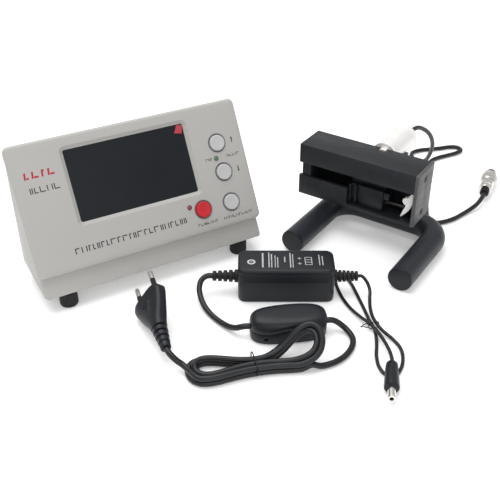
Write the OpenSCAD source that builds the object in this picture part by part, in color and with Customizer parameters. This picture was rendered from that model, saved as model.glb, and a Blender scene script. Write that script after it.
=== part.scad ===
// Watch timing machine set: sloped display unit, microphone stand and power adapter.
// Millimetres, +Z up, the surface that everything stands on is z = 0. The display unit faces -Y.

/* [Display unit] */
// Width of the front bezel
bezel_w = 186; // [178:0.5:188]
// Height of the bezel along its sloped face
bezel_h = 99; // [96:0.5:101]
// Lean of the face back from upright, in degrees
face_lean = 29; // [26:0.5:32]
// Height of the bezel's lower edge above the surface
face_z = 30; // [28:0.5:34]
// Corner radius of the bezel
bezel_r = 4.5; // [3:0.5:8]
// Thickness of the bezel's front plate
plate_t = 2.5; // [2:0.1:3]
// Depth of the bezel's skirt behind its face
skirt_d = 5.5; // [5:0.5:7]
// Width of the case behind the bezel
case_w = 183; // [175:0.5:184]
// Depth of the case at its base
case_d = 61; // [58:1:75]
// Height of the case's front strip below the bezel, along the slope
strip_h = 17; // [14:0.5:19]
// Wall thickness of the case
wall = 2.4; // [2:0.1:3]
// Width of the visible screen
screen_w = 96; // [90:0.5:98]
// Height of the visible screen
screen_h = 54; // [50:0.5:56]
// Diameter of a rubber foot
foot_d = 14; // [10:0.5:18]

/* [Keys] */
// Diameter of a key cap
key_d = 12.6; // [10:0.1:13.4]
// How far a key stands out of the face
key_proud = 1.6; // [1:0.1:2.5]
// How far a key travels when pressed
key_travel = 1.2; // [0.8:0.1:1.2]
// Running clearance between a key and its guide, on the radius
key_gap = 0.08; // [0.05:0.01:0.1]

/* [Microphone stand] */
// Diameter of the bent bar
bar_d = 20; // [18:0.5:21]
// Distance between the two legs' centrelines
leg_spacing = 96.6; // [90:0.2:104]
// Reach of the legs in front of the crossbar's centreline
leg_reach = 82.8; // [70:0.2:90]
// Bend radius of the bar's centreline
bar_bend = 22; // [20:1:26]
// Length of the head
head_l = 106; // [100:0.5:112]
// Depth of the head
head_d = 30.4; // [28:0.2:32]
// Height of the head
head_h = 46; // [44:0.5:48]
// Height of the head's underside above the surface
head_z = 31; // [30.5:0.5:33]
// Diameter of the sensor housing
housing_d = 22.2; // [20:0.2:24]
// Travel of the sliding jaw
jaw_travel = 32; // [20:1:33]

/* [Power adapter] */
// Length of the adapter
brick_l = 73.2; // [68:0.2:76]
// Depth of the adapter
brick_d = 29; // [26:0.5:32]
// Height of the adapter
brick_h = 29.4; // [26:0.2:32]
// Length of the in-line box
box_l = 55.6; // [50:0.2:60]
// Depth of the in-line box
box_d = 26; // [22:0.5:28]
// Height of the in-line box
box_h = 19; // [16:0.5:21]

/* [Cords] */
// Diameter of the mains lead
mains_d = 4.4; // [4:0.1:5]
// Diameter of the low-voltage lead
dc_d = 2.6; // [2:0.1:2.8]
// Diameter of the sensor cable
sensor_d = 4; // [3:0.1:4]

/* [Hidden] */
$fn = 48;
eps = 0.01;

// Where each unit stands: [x, y] of its own origin, and its turn about Z
set_shift = [1.93, -1.68, 0];
unit_at = [-76, 26, 0];
stand_at = [132.4, 2.4, 0];
stand_turn = -62.7;
brick_at = [2.4, -37.4, 0];
brick_turn = -29.3;
box_at = [-22, -81, 0];
box_turn = -22.5;
plug_at = [-100.7, -12.7, 16.5];
plug_turn = -11;
plug_pitch = 3.8;
plug_roll = 54;
hank_at = [-60.5, -103.5, 0];
hank_turn = -17;
dc_plug_at = [19.5, -148.4, 5.3];
dc_plug_turn = -128;
connector_at = [234.6, -7.6, 7.5];
connector_turn = 38;

// Face plane of the display unit: s runs up the face, d outward from it; gives [y, z]
function face_pt(s, d) = [s * sin(face_lean) - d * cos(face_lean),
                          face_z + s * cos(face_lean) + d * sin(face_lean)];
// The y of the plane at depth d behind the face, at height z
function face_y(z, d) = (z - face_z + d * sin(face_lean)) * tan(face_lean) + d * cos(face_lean);
base_pt = face_pt(-strip_h, -skirt_d);
base_z = base_pt[1];
rear_y = base_pt[0] + case_d;
shoulder_z = 101;
base_t = 2.4;

screen_c = [-3, 60.6];
key_rows = [66.6, 43, 18.2];
key_col = 70;
start_at = [45, 18.2];
key_places = [[key_col, key_rows[0]], [key_col, key_rows[1]], [key_col, key_rows[2]], start_at];
green_at = [66.2, 54.8];
red_at = [33.8, 22.5];
lamp_d = 3.9;
key_well_d = 14.2;
key_well = 1.2;
collar_end = 4.5;
flange_d = 15;
dc_at = [-58, 30];
mic_at = [56, 32];
foot_places = [for (x = [-73, 73], y = [4, 48]) [x, y]];
board_screws = [for (x = [-66, 6], y = [14, 46]) [x, y]];

bar_r = bar_d / 2;
bar_wall = 3;
post_x = -6;
post_w = 18;
roll_z = 70.5;
housing_end = 31.8;
cradle_gap = 0.05;
head_x = -68;
head_y = -26.4;
head_front = head_y - head_d / 2;
head_rear = head_y + head_d / 2;
plate_l = 3;
lip_t = 3;
back_t = 4;
upper_lip = 16.5;
lower_lip = 17.5;
lower_lip_l = 45.5;
jaw_x = 13.8 + jaw_travel;
jaw_l = 30.4;
rod_d = 5;
rod_gap = 0.05;
rod_z = [8, 38];
rod_y = head_y - 0.6;

plug_l = 56;
brick_split = 24;
gland_l = [19.7, 18.7];
hank_half = 47;
hank_wide = 30;
hank_high = 9;
hank_rise = 17;
hank_bend = 4.3;
pin_d = 4;
pin_l = 19;
pin_pitch = 18.6;

// Routes of the free cords, in millimetres from the shared origin
mains_a_route = [[-46.7, -9.8, 14.6], [-50.2, -7.9, 14.6], [-55, -8, 12.8], [-59.4, -12.4, 9.6],
    [-62, -20, 6],
    [-63, -29, 3.6], [-62.3, -39, 2.4], [-60.4, -49, 2.4], [-58, -58, 3.6], [-55.4, -65, 6.6],
    [-52.3, -68.4, 9], [-47.7, -70.4, 9]];
mains_b_route = [[3.7, -91.6, 9], [7.4, -93.2, 9], [10.6, -95, 7.4], [13.4, -98.4, 5], [15, -104, 3],
    [14, -110.5, 2.4],
    [10, -116.5, 2.4], [3.5, -121.5, 2.4], [-4.5, -124.8, 2.4], [-13, -125.8, 2.4], [-22, -124.5, 2.6],
    [-31, -120, 3.2]];
mains_c_route = [[-101.8, -84.6, 4.5], [-105.4, -81.2, 6], [-108.6, -77.4, 8.8], [-110.8, -72.8, 11.3],
    [-111.4, -67.6, 12.7]];
dc_route = [[50.6, -64.4, 14.6], [53.2, -65.9, 14.6], [55.6, -70, 10.6], [54.6, -75.5, 7], [50, -82, 4.6],
    [44.5, -90, 4.2], [39.8, -99, 4.2], [37.2, -107.6, 4.2], [36.6, -116, 3.6], [38.6, -125, 1.8],
    [37.8, -135, 1.4], [32.6, -144.5, 1.4], [25, -152, 1.4], [17, -155.6, 1.4], [12.2, -151.6, 1.4],
    [12.8, -143.6, 1.4], [18, -133.6, 1.4], [24.6, -125, 1.4], [30.4, -116.6, 1.4], [34.9, -107.8, 1.4],
    [37, -99.6, 1.4], [40.4, -90, 1.4], [44.2, -79, 1.4], [48.2, -67, 1.4], [51.6, -56, 1.4],
    [52.4, -47.6, 1.4], [47.8, -43.6, 1.4], [42.8, -47.4, 1.4], [38.4, -57, 1.4], [34.8, -69, 1.4],
    [32.8, -82, 1.8], [32.4, -95, 3], [32.9, -107.4, 4.2], [31.6, -118, 4.6], [29.2, -128, 5],
    [25.8, -138, 5.3], [22.6, -144.4, 5.3], [19.5, -148.4, 5.3]];
sensor_route = [[163.7, 25.3, 70.5], [171.7, 29.4, 70.5], [181, 33.4, 69], [191, 36, 64], [200.4, 38.6, 56.4],
    [208.6, 42.4, 46.6], [215, 47.5, 35.4], [219.5, 54.5, 23], [223.5, 63, 12.5], [225.6, 72.5, 5.4],
    [227.5, 82, 2.4], [230.6, 91, 2.1], [237, 97.4, 2.1], [247, 97.8, 2.1], [258, 94.4, 2.1],
    [269, 91, 2.1], [279, 88.6, 2.1], [285, 84, 2.1], [284, 77.4, 2.1], [276, 75, 2.1], [265, 75.2, 2.1],
    [254, 75.8, 2.1], [243, 74.4, 2.1], [233, 68.4, 2.1], [222.6, 58.4, 2.1], [211, 45.4, 2.1],
    [199.6, 31.8, 2.1], [188.4, 18, 2.1], [178, 5, 2.1], [169.6, -5.6, 2.1], [165.6, -12.6, 2.1],
    [168, -19, 2.1], [176, -21.6, 2.1], [187, -21.8, 2.1], [198, -19.8, 2.1], [208, -18, 2.8],
    [218.6, -16.2, 5], [226.2, -13.1, 6.9], [231.2, -10.3, 7.4], [234.6, -7.6, 7.5]];

// ---------- shared helpers ----------

module at_unit() translate(set_shift + unit_at) children();
module at_stand() translate(set_shift + stand_at) rotate([0, 0, stand_turn]) children();
module at_brick() translate(set_shift + brick_at) rotate([0, 0, brick_turn]) children();
module at_box() translate(set_shift + box_at) rotate([0, 0, box_turn]) children();
module at_hank() translate(set_shift + hank_at) rotate([0, 0, hank_turn]) children();
// The plug's own +Y runs along its pins
module at_plug() translate(set_shift + plug_at) rotate([0, 0, plug_turn])
    rotate([plug_pitch, 0, 0]) rotate([0, -plug_roll, 0]) children();
// Face frame: x to the right, y up the slope, z outward from the bezel's face
module on_face() at_unit() translate([0, 0, face_z]) rotate([90 - face_lean, 0, 0]) children();
// Head frame: x from the head's left end, y as on the stand, z from the head's underside
module in_head() at_stand() translate([head_x, 0, head_z]) children();
// A cylinder whose axis runs along +Y or +X
module rod_y(d, l) rotate([-90, 0, 0]) cylinder(d = d, h = l);
module rod_x(d, l) rotate([0, 90, 0]) cylinder(d = d, h = l);
module pipe_x(d, bore, l) difference() {
    rod_x(d, l);
    translate([-eps, 0, 0]) rod_x(bore, l + 2 * eps);
}

// A flat plate with round corners, standing on z = 0
module rounded_plate(w, h, r, t) linear_extrude(t) rounded_outline(w, h, r);
module rounded_outline(w, h, r) {
    square([w - 2 * r, h], center = true);
    square([w, h - 2 * r], center = true);
    for (x = [-1, 1], y = [-1, 1]) translate([x * (w / 2 - r), y * (h / 2 - r)]) circle(r);
}

// A profile given as [y, z] points, extruded along X and centred on x = 0
module across(w, points) rotate([90, 0, 90]) translate([0, 0, -w / 2]) linear_extrude(w) polygon(points);

// A profile given as [x, z] points, extruded along Y and centred on y = 0
module across_y(w, points) rotate([90, 0, 0]) translate([0, 0, -w / 2]) linear_extrude(w) polygon(points);

// A round tube swept along a route, one ring at each of the route's points
function unit_vec(v) = v / norm(v);
function heading(p, i) = unit_vec(p[min(i + 1, len(p) - 1)] - p[max(i - 1, 0)]);
function side_of(t) = unit_vec(cross(t, [0, 0, 1]));
function ring(p, i, r, n) = let (t = heading(p, i), s = side_of(t), u = cross(s, t))
    [for (k = [0 : n - 1]) p[i] + r * (cos(360 * k / n) * s + sin(360 * k / n) * u)];
module swept_tube(route, d, n) {
    count = len(route);
    points = [for (i = [0 : count - 1]) each ring(route, i, d / 2, n)];
    sides = [for (i = [0 : count - 2], k = [0 : n - 1]) let (a = i * n + k, b = i * n + (k + 1) % n)
        each [[a, b, b + n], [a, b + n, a + n]]];
    caps = [[for (k = [n - 1 : -1 : 0]) k], [for (k = [0 : n - 1]) (count - 1) * n + k]];
    polyhedron(points, concat(sides, caps), convexity = 8);
}

// ---------- display unit ----------

module front_bezel() color([0.73, 0.72, 0.70]) on_face() difference() {
    union() {
        translate([0, bezel_h / 2, -plate_t]) rounded_plate(bezel_w, bezel_h, bezel_r, plate_t);
        translate([0, bezel_h / 2, -skirt_d]) difference() {
            rounded_plate(bezel_w, bezel_h, bezel_r, skirt_d - plate_t);
            translate([0, 0, -eps]) rounded_plate(bezel_w - 2 * wall, bezel_h - 2 * wall, bezel_r - wall,
                skirt_d - plate_t + 2 * eps);
        }
        for (p = key_places) translate([p[0], p[1], -collar_end])
            cylinder(d = flange_d + 1, h = collar_end - plate_t + eps);
    }
    translate([screen_c[0], screen_c[1], -plate_t - 1])
        rounded_plate(screen_w + 0.8, screen_h + 0.8, 1.5, plate_t + 2);
    for (p = key_places) translate([p[0], p[1], 0]) {
        translate([0, 0, -key_well]) cylinder(d = key_well_d, h = key_well + 1);
        translate([0, 0, -collar_end - 1]) cylinder(r = key_d / 2 + key_gap, h = collar_end + 2);
    }
    for (p = [green_at, red_at]) translate([p[0], p[1], -plate_t - 1])
        cylinder(d = lamp_d + 0.1, h = plate_t + 2);
}

// Side profile of the case, moved inwards by i; low is how far below the base it reaches
function case_profile(i, low) = [
    [face_y(base_z - low, skirt_d + i), base_z - low],
    face_pt(bezel_h - 1.5 - i, -skirt_d - i),
    [rear_y - i, shoulder_z - 0.6 * i],
    [rear_y - i, base_z - low]];

module case_shell() color([0.75, 0.74, 0.72]) at_unit() difference() {
    across(case_w, case_profile(0, 0));
    across(case_w - 2 * wall, case_profile(wall, 1));
    translate([0, 0, face_z]) rotate([90 - face_lean, 0, 0])
        translate([0, bezel_h / 2, -skirt_d - wall - 1]) rounded_plate(case_w - 8, bezel_h - 6, 4, wall + 2);
    translate([dc_at[0], rear_y - wall - 1, dc_at[1]]) rod_y(11.2, wall + 2);
    translate([mic_at[0], rear_y - wall - 1, mic_at[1]]) rod_y(12.2, wall + 2);
    for (k = [0 : 6]) translate([-15 + 5 * k, rear_y - wall - 1, 60]) rod_y(2.4, wall + 2);
}

module base_plate() color([0.70, 0.69, 0.67]) at_unit() difference() {
    across(case_w - 2 * wall - 0.4, [
        [face_y(base_z, skirt_d + wall) + 0.1, base_z],
        [face_y(base_z + base_t, skirt_d + wall) + 0.1, base_z + base_t],
        [rear_y - wall - 0.2, base_z + base_t], [rear_y - wall - 0.2, base_z]]);
    for (p = foot_places) translate([p[0], p[1], base_z - 1]) cylinder(d = 3.2, h = base_t + 2);
    for (k = [-4 : 4]) translate([9 * k, 26, base_z - 1]) rounded_plate(3, 20, 1.4, base_t + 2);
}

module rubber_feet() color([0.06, 0.06, 0.06]) at_unit() for (p = foot_places) translate([p[0], p[1], 0])
    difference() {
        cylinder(d = foot_d, h = base_z);
        translate([0, 0, -1]) cylinder(d = 7, h = 5);
        cylinder(d = 3.2, h = base_z + 1);
    }

module case_screws() color([0.6, 0.6, 0.62]) at_unit() {
    for (p = foot_places) translate([p[0], p[1], 2]) {
        difference() {
            cylinder(d = 6, h = 2);
            translate([0, 0, -eps]) cylinder(d = 2.5, h = 1, $fn = 6);
        }
        cylinder(d = 3, h = base_z + base_t);
    }
    for (p = board_screws) translate([p[0], p[1], base_z + base_t]) cylinder(d = 5, h = 5);
}

module lcd_panel() color([0.08, 0.08, 0.10]) on_face() translate([screen_c[0], screen_c[1], -plate_t - 4.2]) {
    rounded_plate(105.5, 66, 1, 4);
    translate([0, 0, -2]) rounded_plate(60, 40, 1, 2);
}

module screen_film() color([0.55, 0.57, 0.62]) on_face()
    translate([screen_c[0], screen_c[1], -plate_t - 0.2]) {
    rounded_plate(screen_w - 0.6, screen_h - 0.6, 1, 0.2);
    translate([screen_w / 2 - 11, screen_h / 2 - 7, 0.2]) cube([8, 6.4, 0.3]);
}

module lcd_ribbon() color([0.75, 0.5, 0.2]) at_unit() translate([-10, 0, 0]) across(20, [
    face_pt(30.6, -6.7), face_pt(31.2, -6.7), [20.5, 30], [20.5, base_z + base_t + 6.6],
    [20.1, base_z + base_t + 6.6], [20.1, 30]]);

module main_board() color([0.10, 0.35, 0.18]) at_unit() translate([0, 0, base_z + base_t + 5]) difference() {
    union() {
        translate([-72, 8, 0]) cube([84, 44, 1.6]);
        translate([-40, 24, 1.6]) cube([14, 14, 1.8]);
        translate([-62, 16, 1.6]) cylinder(d = 8, h = 12);
        translate([-15, 40, 1.6]) cube([12, 6, 5]);
    }
    for (p = board_screws) translate([p[0], p[1], -1]) cylinder(d = 3.2, h = 4);
}

module key_board() color([0.10, 0.35, 0.18]) on_face() difference() {
    translate([27, 9, -14.6]) cube([58, 66, 1.6]);
    for (s = [13, 71]) translate([81, s, -15]) cylinder(d = 3.2, h = 3);
}

module key_switches() color([0.2, 0.2, 0.2]) on_face() for (p = key_places) translate([p[0], p[1], -13]) {
    translate([-3, -3, 0]) cube([6, 6, 3.2]);
    cylinder(d = 3.4, h = 4.9 - key_travel);
}

module key_cap(place) on_face() translate([place[0], place[1], 0]) {
    translate([0, 0, -6.2]) cylinder(d = key_d, h = 6.2 + key_proud);
    translate([0, 0, -6.2]) cylinder(d = flange_d, h = 6.2 - collar_end - 0.1);
    translate([0, 0, -8]) cylinder(d = 4, h = 2);
}
module key_up() color([0.62, 0.62, 0.61]) key_cap(key_places[0]);
module key_down() color([0.62, 0.62, 0.61]) key_cap(key_places[1]);
module key_menu() color([0.62, 0.62, 0.61]) key_cap(key_places[2]);
module key_start() color([0.75, 0.10, 0.12]) key_cap(key_places[3]);

module lamp(place) on_face() translate([place[0], place[1], -13]) {
    cylinder(d = lamp_d, h = 12);
    translate([0, 0, 12]) difference() {
        sphere(d = lamp_d);
        translate([0, 0, -5]) cube([10, 10, 10], center = true);
    }
}
module lamp_green() color([0.45, 0.75, 0.35]) lamp(green_at);
module lamp_red() color([0.80, 0.25, 0.20]) lamp(red_at);

module sounder() color([0.1, 0.1, 0.1]) at_unit() translate([0, rear_y - wall - 9, 60]) difference() {
    rod_y(30, 9);
    translate([0, -eps, 0]) rod_y(6, 2);
}

module dc_socket() color([0.08, 0.08, 0.08]) at_unit() translate([dc_at[0], rear_y - 12, dc_at[1]])
    difference() {
    union() {
        translate([-7, 0, -6]) cube([14, 12 - wall, 12]);
        rod_y(11, 12.4);
    }
    translate([0, 2.4, 0]) rod_y(5.9, 11);
}

module mic_socket() color([0.78, 0.78, 0.80]) at_unit() translate([mic_at[0], rear_y, mic_at[1]])
    difference() {
    union() {
        rod_y(15, 2);
        rod_y(11.6, 8);
        translate([0, -11, 0]) rod_y(12, 11);
    }
    translate([0, -3, 0]) rod_y(9, 12);
}

// ---------- microphone stand ----------

// A stretch of pipe along +Y
module pipe_y(d, bore, l) difference() {
    rod_y(d, l);
    translate([0, -eps, 0]) rod_y(bore, l + 2 * eps);
}

module stand_bar() color([0.07, 0.07, 0.08]) at_stand() translate([0, 0, bar_r]) {
    span = leg_spacing - 2 * bar_bend;
    difference() {
        translate([-span / 2, 0, 0]) pipe_x(bar_d, bar_d - 2 * bar_wall, span);
        translate([post_x, 0, -bar_r - 1]) cylinder(d = 9.6, h = bar_r + 1);
        translate([post_x, 0, 0]) cylinder(d = 5.4, h = bar_r + 1);
    }
    for (m = [0, 1]) mirror([m, 0, 0]) {
        translate([span / 2, -bar_bend, 0]) rotate_extrude(angle = 90) translate([bar_bend, 0])
            difference() {
                circle(bar_r);
                circle(bar_r - bar_wall);
            }
        translate([leg_spacing / 2, -leg_reach, 0]) pipe_y(bar_d, bar_d - 2 * bar_wall, leg_reach - bar_bend);
    }
}

module bar_caps() color([0.13, 0.13, 0.14]) at_stand() for (x = [-1, 1])
    translate([x * leg_spacing / 2, -leg_reach, bar_r]) {
        translate([0, -1.8, 0]) rod_y(bar_d, 1.8);
        rod_y(bar_d - 2 * bar_wall, 9);
    }

// Saddle foot on the bar, upright, and an open cradle for the sensor housing
module cradle_post() color([0.08, 0.08, 0.09]) at_stand() difference() {
    translate([post_x, 0, 0]) union() {
        translate([-post_w / 2, -8, 12]) cube([post_w, 16, roll_z - 12 - 7]);
        translate([0, -9, roll_z]) rod_y(28, 18);
    }
    translate([post_x - 20, 0, bar_r]) rod_x(bar_d, 40);
    translate([post_x, -20, roll_z]) rod_y(housing_d + 2 * cradle_gap, 40);
    translate([post_x - 20, -20, roll_z - 2]) cube([40, 40, 20]);
    translate([post_x, 0, bar_r]) cylinder(d = 4.4, h = 26);
}

// Its head bears inside the bar, reached through the access hole below
module post_screw() color([0.35, 0.35, 0.37]) at_stand() translate([post_x, 0, 11.5]) {
    difference() {
        cylinder(d = 8.4, h = 4);
        translate([0, 0, -eps]) cylinder(d = 4, h = 2.5, $fn = 6);
    }
    translate([0, 0, 3]) cylinder(d = 4.2, h = 20);
}

module head_channel() color([0.09, 0.09, 0.10]) in_head() difference() {
    translate([0, head_front, 0]) cube([head_l - plate_l, head_d, head_h]);
    translate([-1, head_front + lip_t, 3]) cube([head_l, head_d - lip_t - back_t, head_h - 6]);
    translate([-1, head_front - 1, lower_lip]) cube([head_l, lip_t + 2, head_h - lower_lip - upper_lip]);
    translate([lower_lip_l, head_front - 1, 3]) cube([head_l, lip_t + 2, lower_lip]);
    translate([post_x - head_x, head_rear - back_t - 1, roll_z - head_z]) rod_y(14, back_t + 2);
}

module head_left_block() color([0.08, 0.08, 0.09]) in_head() difference() {
    union() {
        translate([2.3, head_front + lip_t, 3]) cube([8, head_d - lip_t - back_t, head_h - 6]);
        translate([2.3, head_front + 1.2, lower_lip]) cube([8, lip_t, head_h - lower_lip - upper_lip]);
    }
    for (z = rod_z) translate([1, rod_y, z]) rod_x(rod_d, 12);
}

module head_right_plate() color([0.46, 0.47, 0.48]) in_head() difference() {
    translate([head_l - plate_l, head_front, 0]) cube([plate_l, head_d, head_h]);
    for (z = rod_z) translate([head_l - plate_l - 1, rod_y, z]) rod_x(2.6, plate_l + 2);
    for (z = rod_z) translate([head_l - 1.6, rod_y, z]) rod_x(5.6, 3);
}

module head_screws() color([0.12, 0.12, 0.12]) in_head() for (z = rod_z) translate([head_l - 1.6, rod_y, z]) {
    difference() {
        rod_x(5.2, 1.3);
        translate([0.7, 0, 0]) rotate([0, 90, 0]) cylinder(d = 2, h = 1, $fn = 6);
    }
    translate([-5.4, 0, 0]) rod_x(2.5, 5.5);
}

module guide_rods() color([0.75, 0.75, 0.77]) in_head() for (z = rod_z) translate([2.3, rod_y, z])
    difference() {
        union() {
            rod_x(rod_d, head_l - plate_l - 2.3);
            translate([jaw_x + jaw_l - 2.3, 0, 0]) rod_x(rod_d + 3, 1.6);
        }
        translate([head_l - plate_l - 2.3 - 4, 0, 0]) rod_x(2.6, 5);
    }

// Extension spring that pulls the jaw towards the contact
function coil(turns, steps, d, l) = [for (i = [0 : turns * steps]) let (a = 360 * i / steps)
    [l * i / (turns * steps), d / 2 * cos(a), d / 2 * sin(a)]];
module jaw_spring() color([0.75, 0.75, 0.76]) in_head()
    translate([jaw_x + jaw_l + 0.5, head_rear - back_t - 3.6, 26])
    swept_tube(coil(9, 9, 5, head_l - plate_l - jaw_x - jaw_l - 1), 0.8, 6);

module sliding_jaw() color([0.07, 0.07, 0.08]) in_head() difference() {
    union() {
        translate([jaw_x + 10, head_front + lip_t + 0.3, 3.2]) cube([jaw_l - 10, 8, lower_lip + 1]);
        translate([jaw_x, head_front + lip_t + 3, 3.2]) cube([jaw_l, 12, lower_lip]);
        translate([jaw_x, rod_y - 5, 3.2]) cube([jaw_l, 12, head_h - 6.4]);
        for (x = [0, 5, 10]) translate([jaw_x + x, head_front + lip_t + 0.3, 3.2]) cube([1.8, 3, lower_lip]);
    }
    for (z = rod_z) translate([0, rod_y, z]) rod_x(rod_d + 2 * rod_gap, head_l);
    translate([jaw_x + jaw_l - 6, head_front + lip_t + 4, 18]) rod_x(3, 7);
}

module jaw_pin() color([0.12, 0.12, 0.13]) in_head() translate([jaw_x + jaw_l, head_front + lip_t + 1, 15]) {
    cube([5, 6, 6]);
    translate([-6, 3, 3]) rod_x(3, 6.5);
}

// White contact that touches the watch, bent like a figure seven
module sensor_contact() color([0.92, 0.92, 0.90]) in_head() translate([0, head_front + lip_t + 7, 0]) {
    rotate([90, 0, 0]) linear_extrude(5)
        polygon([[92.8, 19], [95.5, 26], [102.6, 28.5], [head_l - plate_l, 27],
        [102.6, 20], [101, 12.5], [98, 7], [92.6, 3.4], [92, 4.4], [94.6, 9], [96, 14], [93, 16]]);
    translate([97, -2.5, 21]) rod_x(4, head_l - plate_l - 97);
}

module sensor_housing() color([0.80, 0.80, 0.80]) at_stand() translate([post_x, 0, roll_z]) difference() {
    union() {
        translate([0, head_rear, 0]) rod_y(housing_d, housing_end - head_rear);
        translate([0, head_rear - back_t, 0]) rod_y(14, back_t + eps);
    }
    translate([0, head_rear + 3, 0]) rod_y(housing_d - 3.6, housing_end - head_rear);
    translate([0, head_rear - back_t - 1, 0]) rod_y(3, 12);
}

module sensing_disc() color([0.85, 0.75, 0.45]) at_stand() translate([post_x, head_rear + 3, roll_z]) {
    rod_y(housing_d - 3.6, 0.6);
    translate([0, 0.6, 0]) rod_y(11, 0.4);
}

module housing_cap() color([0.55, 0.55, 0.56]) at_stand() translate([post_x, housing_end, roll_z]) {
    translate([0, -5, 0]) rod_y(housing_d - 3.6, 5);
    rod_y(15, 1.5);
    translate([0, 1.5, 0]) rod_y(6.4, 5);
}

// ---------- sensor cable and connector ----------

module at_connector() translate(set_shift + connector_at) rotate([0, 0, connector_turn]) children();

module sensor_cable() color([0.08, 0.08, 0.08]) translate(set_shift) swept_tube(sensor_route, sensor_d, 8);

module connector_body() color([0.72, 0.72, 0.73]) at_connector() {
    rod_x(8, 5);
    translate([5, 0, 0]) rod_x(12.4, 16);
    translate([21, 0, 0]) rod_x(9.9, 15);
}

module coupling_nut() color([0.68, 0.68, 0.70]) at_connector() translate([21.2, 0, 0]) difference() {
    union() {
        pipe_x(14.4, 10, 14);
        for (k = [0 : 19]) rotate([360 * k / 20, 0, 0]) translate([2, 0, 6.9]) rod_x(0.9, 9);
    }
    translate([8, 0, 0]) rod_x(12.2, 7);
}

module connector_insert() color([0.10, 0.10, 0.10]) at_connector() translate([36, 0, 0]) {
    difference() {
        rod_x(8.6, 7.2);
        for (k = [0 : 3]) rotate([90 * k + 45, 0, 0]) translate([3.2, 0, 2.6]) rod_x(1.2, 5);
    }
}

// ---------- power adapter ----------

module adapter_shell() color([0.06, 0.06, 0.07]) at_brick() difference() {
    rounded_plate(brick_l, brick_d, 4, brick_split);
    translate([0, 0, 2.2]) rounded_plate(brick_l - 4.4, brick_d - 4.4, 2, brick_split);
}

module adapter_lid() color([0.08, 0.08, 0.09]) at_brick() difference() {
    union() {
        translate([0, 0, brick_split]) rounded_plate(brick_l, brick_d, 4, brick_h - brick_split);
        translate([0, 0, brick_split - 2]) rounded_plate(brick_l - 4.6, brick_d - 4.6, 1.9, 2.2);
    }
    translate([0, 0, brick_split - 3]) rounded_plate(brick_l - 8, brick_d - 8, 1, brick_h - brick_split + 1);
}

module adapter_board() color([0.12, 0.30, 0.16]) at_brick() translate([0, 0, 4]) {
    translate([-31, -10.5, 0]) cube([62, 21, 1.6]);
    translate([-8, -8, 1.6]) cube([17, 16, 13]);
    translate([-20, 0, 1.6]) cylinder(d = 10, h = 14);
    translate([20, 3, 1.6]) cylinder(d = 8, h = 12);
}

// Ribbed strain relief, from its flange outwards along +X
module ribbed_gland(l, d) {
    rod_x(d, 3);
    for (k = [0 : 3]) translate([3 + (l - 3) * (k + 0.4) / 4, 0, 0])
        rod_x(d - 0.6 - 0.4 * k, (l - 3) / 4 * 0.55);
    rod_x(d - 3, l);
}
module mains_gland() color([0.05, 0.05, 0.05]) at_brick() translate([-brick_l / 2, 0, 14.6])
    rotate([0, 0, 180]) ribbed_gland(gland_l[0], 10);
module dc_gland() color([0.05, 0.05, 0.05]) at_brick() translate([brick_l / 2, 0, 14.6])
    ribbed_gland(gland_l[1], 10);

module mains_lead_short() color([0.07, 0.07, 0.07]) translate(set_shift)
    swept_tube(mains_a_route, mains_d, 10);

// Outline of the in-line box, a long oval
module box_outline() {
    rounded_outline(box_l, box_d - 8, 6);
    rounded_outline(box_l - 14, box_d, 10);
}
module inline_box_base() color([0.07, 0.07, 0.08]) at_box() difference() {
    linear_extrude(box_h * 0.6) box_outline();
    translate([0, 0, 2]) rounded_plate(box_l - 18, box_d - 6, 6, box_h);
    translate([-18, -box_d / 2 - 1, 6]) rod_y(4, 5);
}
module inline_box_lid() color([0.09, 0.09, 0.10]) at_box() difference() {
    translate([0, 0, box_h * 0.6]) linear_extrude(box_h * 0.4) box_outline();
    translate([0, 0, box_h * 0.6 - 1]) rounded_plate(box_l - 18, box_d - 6, 6, box_h * 0.4 - 1);
}

module mains_lead_long() color([0.07, 0.07, 0.07]) translate(set_shift)
    swept_tube(mains_b_route, mains_d, 10);

// The tied hank: a pinched long loop, bent at its tie, flat on the left and rising to the right
module hank_outline() for (m = [0, 1]) mirror([m, 0]) rotate(hank_bend) {
    translate([hank_half - hank_wide / 2, 0]) circle(d = hank_wide);
    polygon([[-1, -9], [hank_half - hank_wide / 2, -hank_wide / 2],
        [hank_half - hank_wide / 2, hank_wide / 2], [-1, 9]]);
}
module mains_hank() color([0.07, 0.07, 0.07]) at_hank() intersection() {
    linear_extrude(40) hank_outline();
    across_y(60, [[-60, 0], [60, 0], [60, hank_high + hank_rise], [10, hank_high], [-60, hank_high]]);
}

// An inverted U of flat wire over a bundle w wide and h high
module staple(w, h, t, l) difference() {
    translate([-l / 2, -w / 2 - t, 0]) cube([l, w + 2 * t, h + t]);
    translate([-l / 2 - 1, -w / 2, -1]) cube([l + 2, w, h + 1]);
}
module hank_tie() color([0.05, 0.05, 0.05]) at_hank() translate([-2, 0, 0]) staple(20.6, 9.4, 1, 3);

module mains_lead_end() color([0.07, 0.07, 0.07]) translate(set_shift) swept_tube(mains_c_route, mains_d, 10);

// Flat two-pin plug: a wide front, waisted sides and a round strain relief
module plug_body() color([0.06, 0.06, 0.07]) at_plug() {
    translate([0, 0, -6]) linear_extrude(12)
        polygon([[-12.6, 0], [12.6, 0], [15.6, -4], [15, -10], [12, -20], [7.5, -29], [6, -34],
            [-6, -34], [-7.5, -29], [-12, -20], [-15, -10], [-15.6, -4]]);
    for (y = [-34, -45]) translate([0, y - 7, 0]) rod_y(y == -34 ? 10.5 : 8.5, 7 + eps);
    translate([0, -plug_l, 0]) rod_y(7.4, plug_l - 34);
}
module plug_pins() color([0.80, 0.80, 0.80]) at_plug() for (x = [-1, 1]) translate([x * pin_pitch / 2, 0, 0])
    rod_y(pin_d, pin_l);

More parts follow.
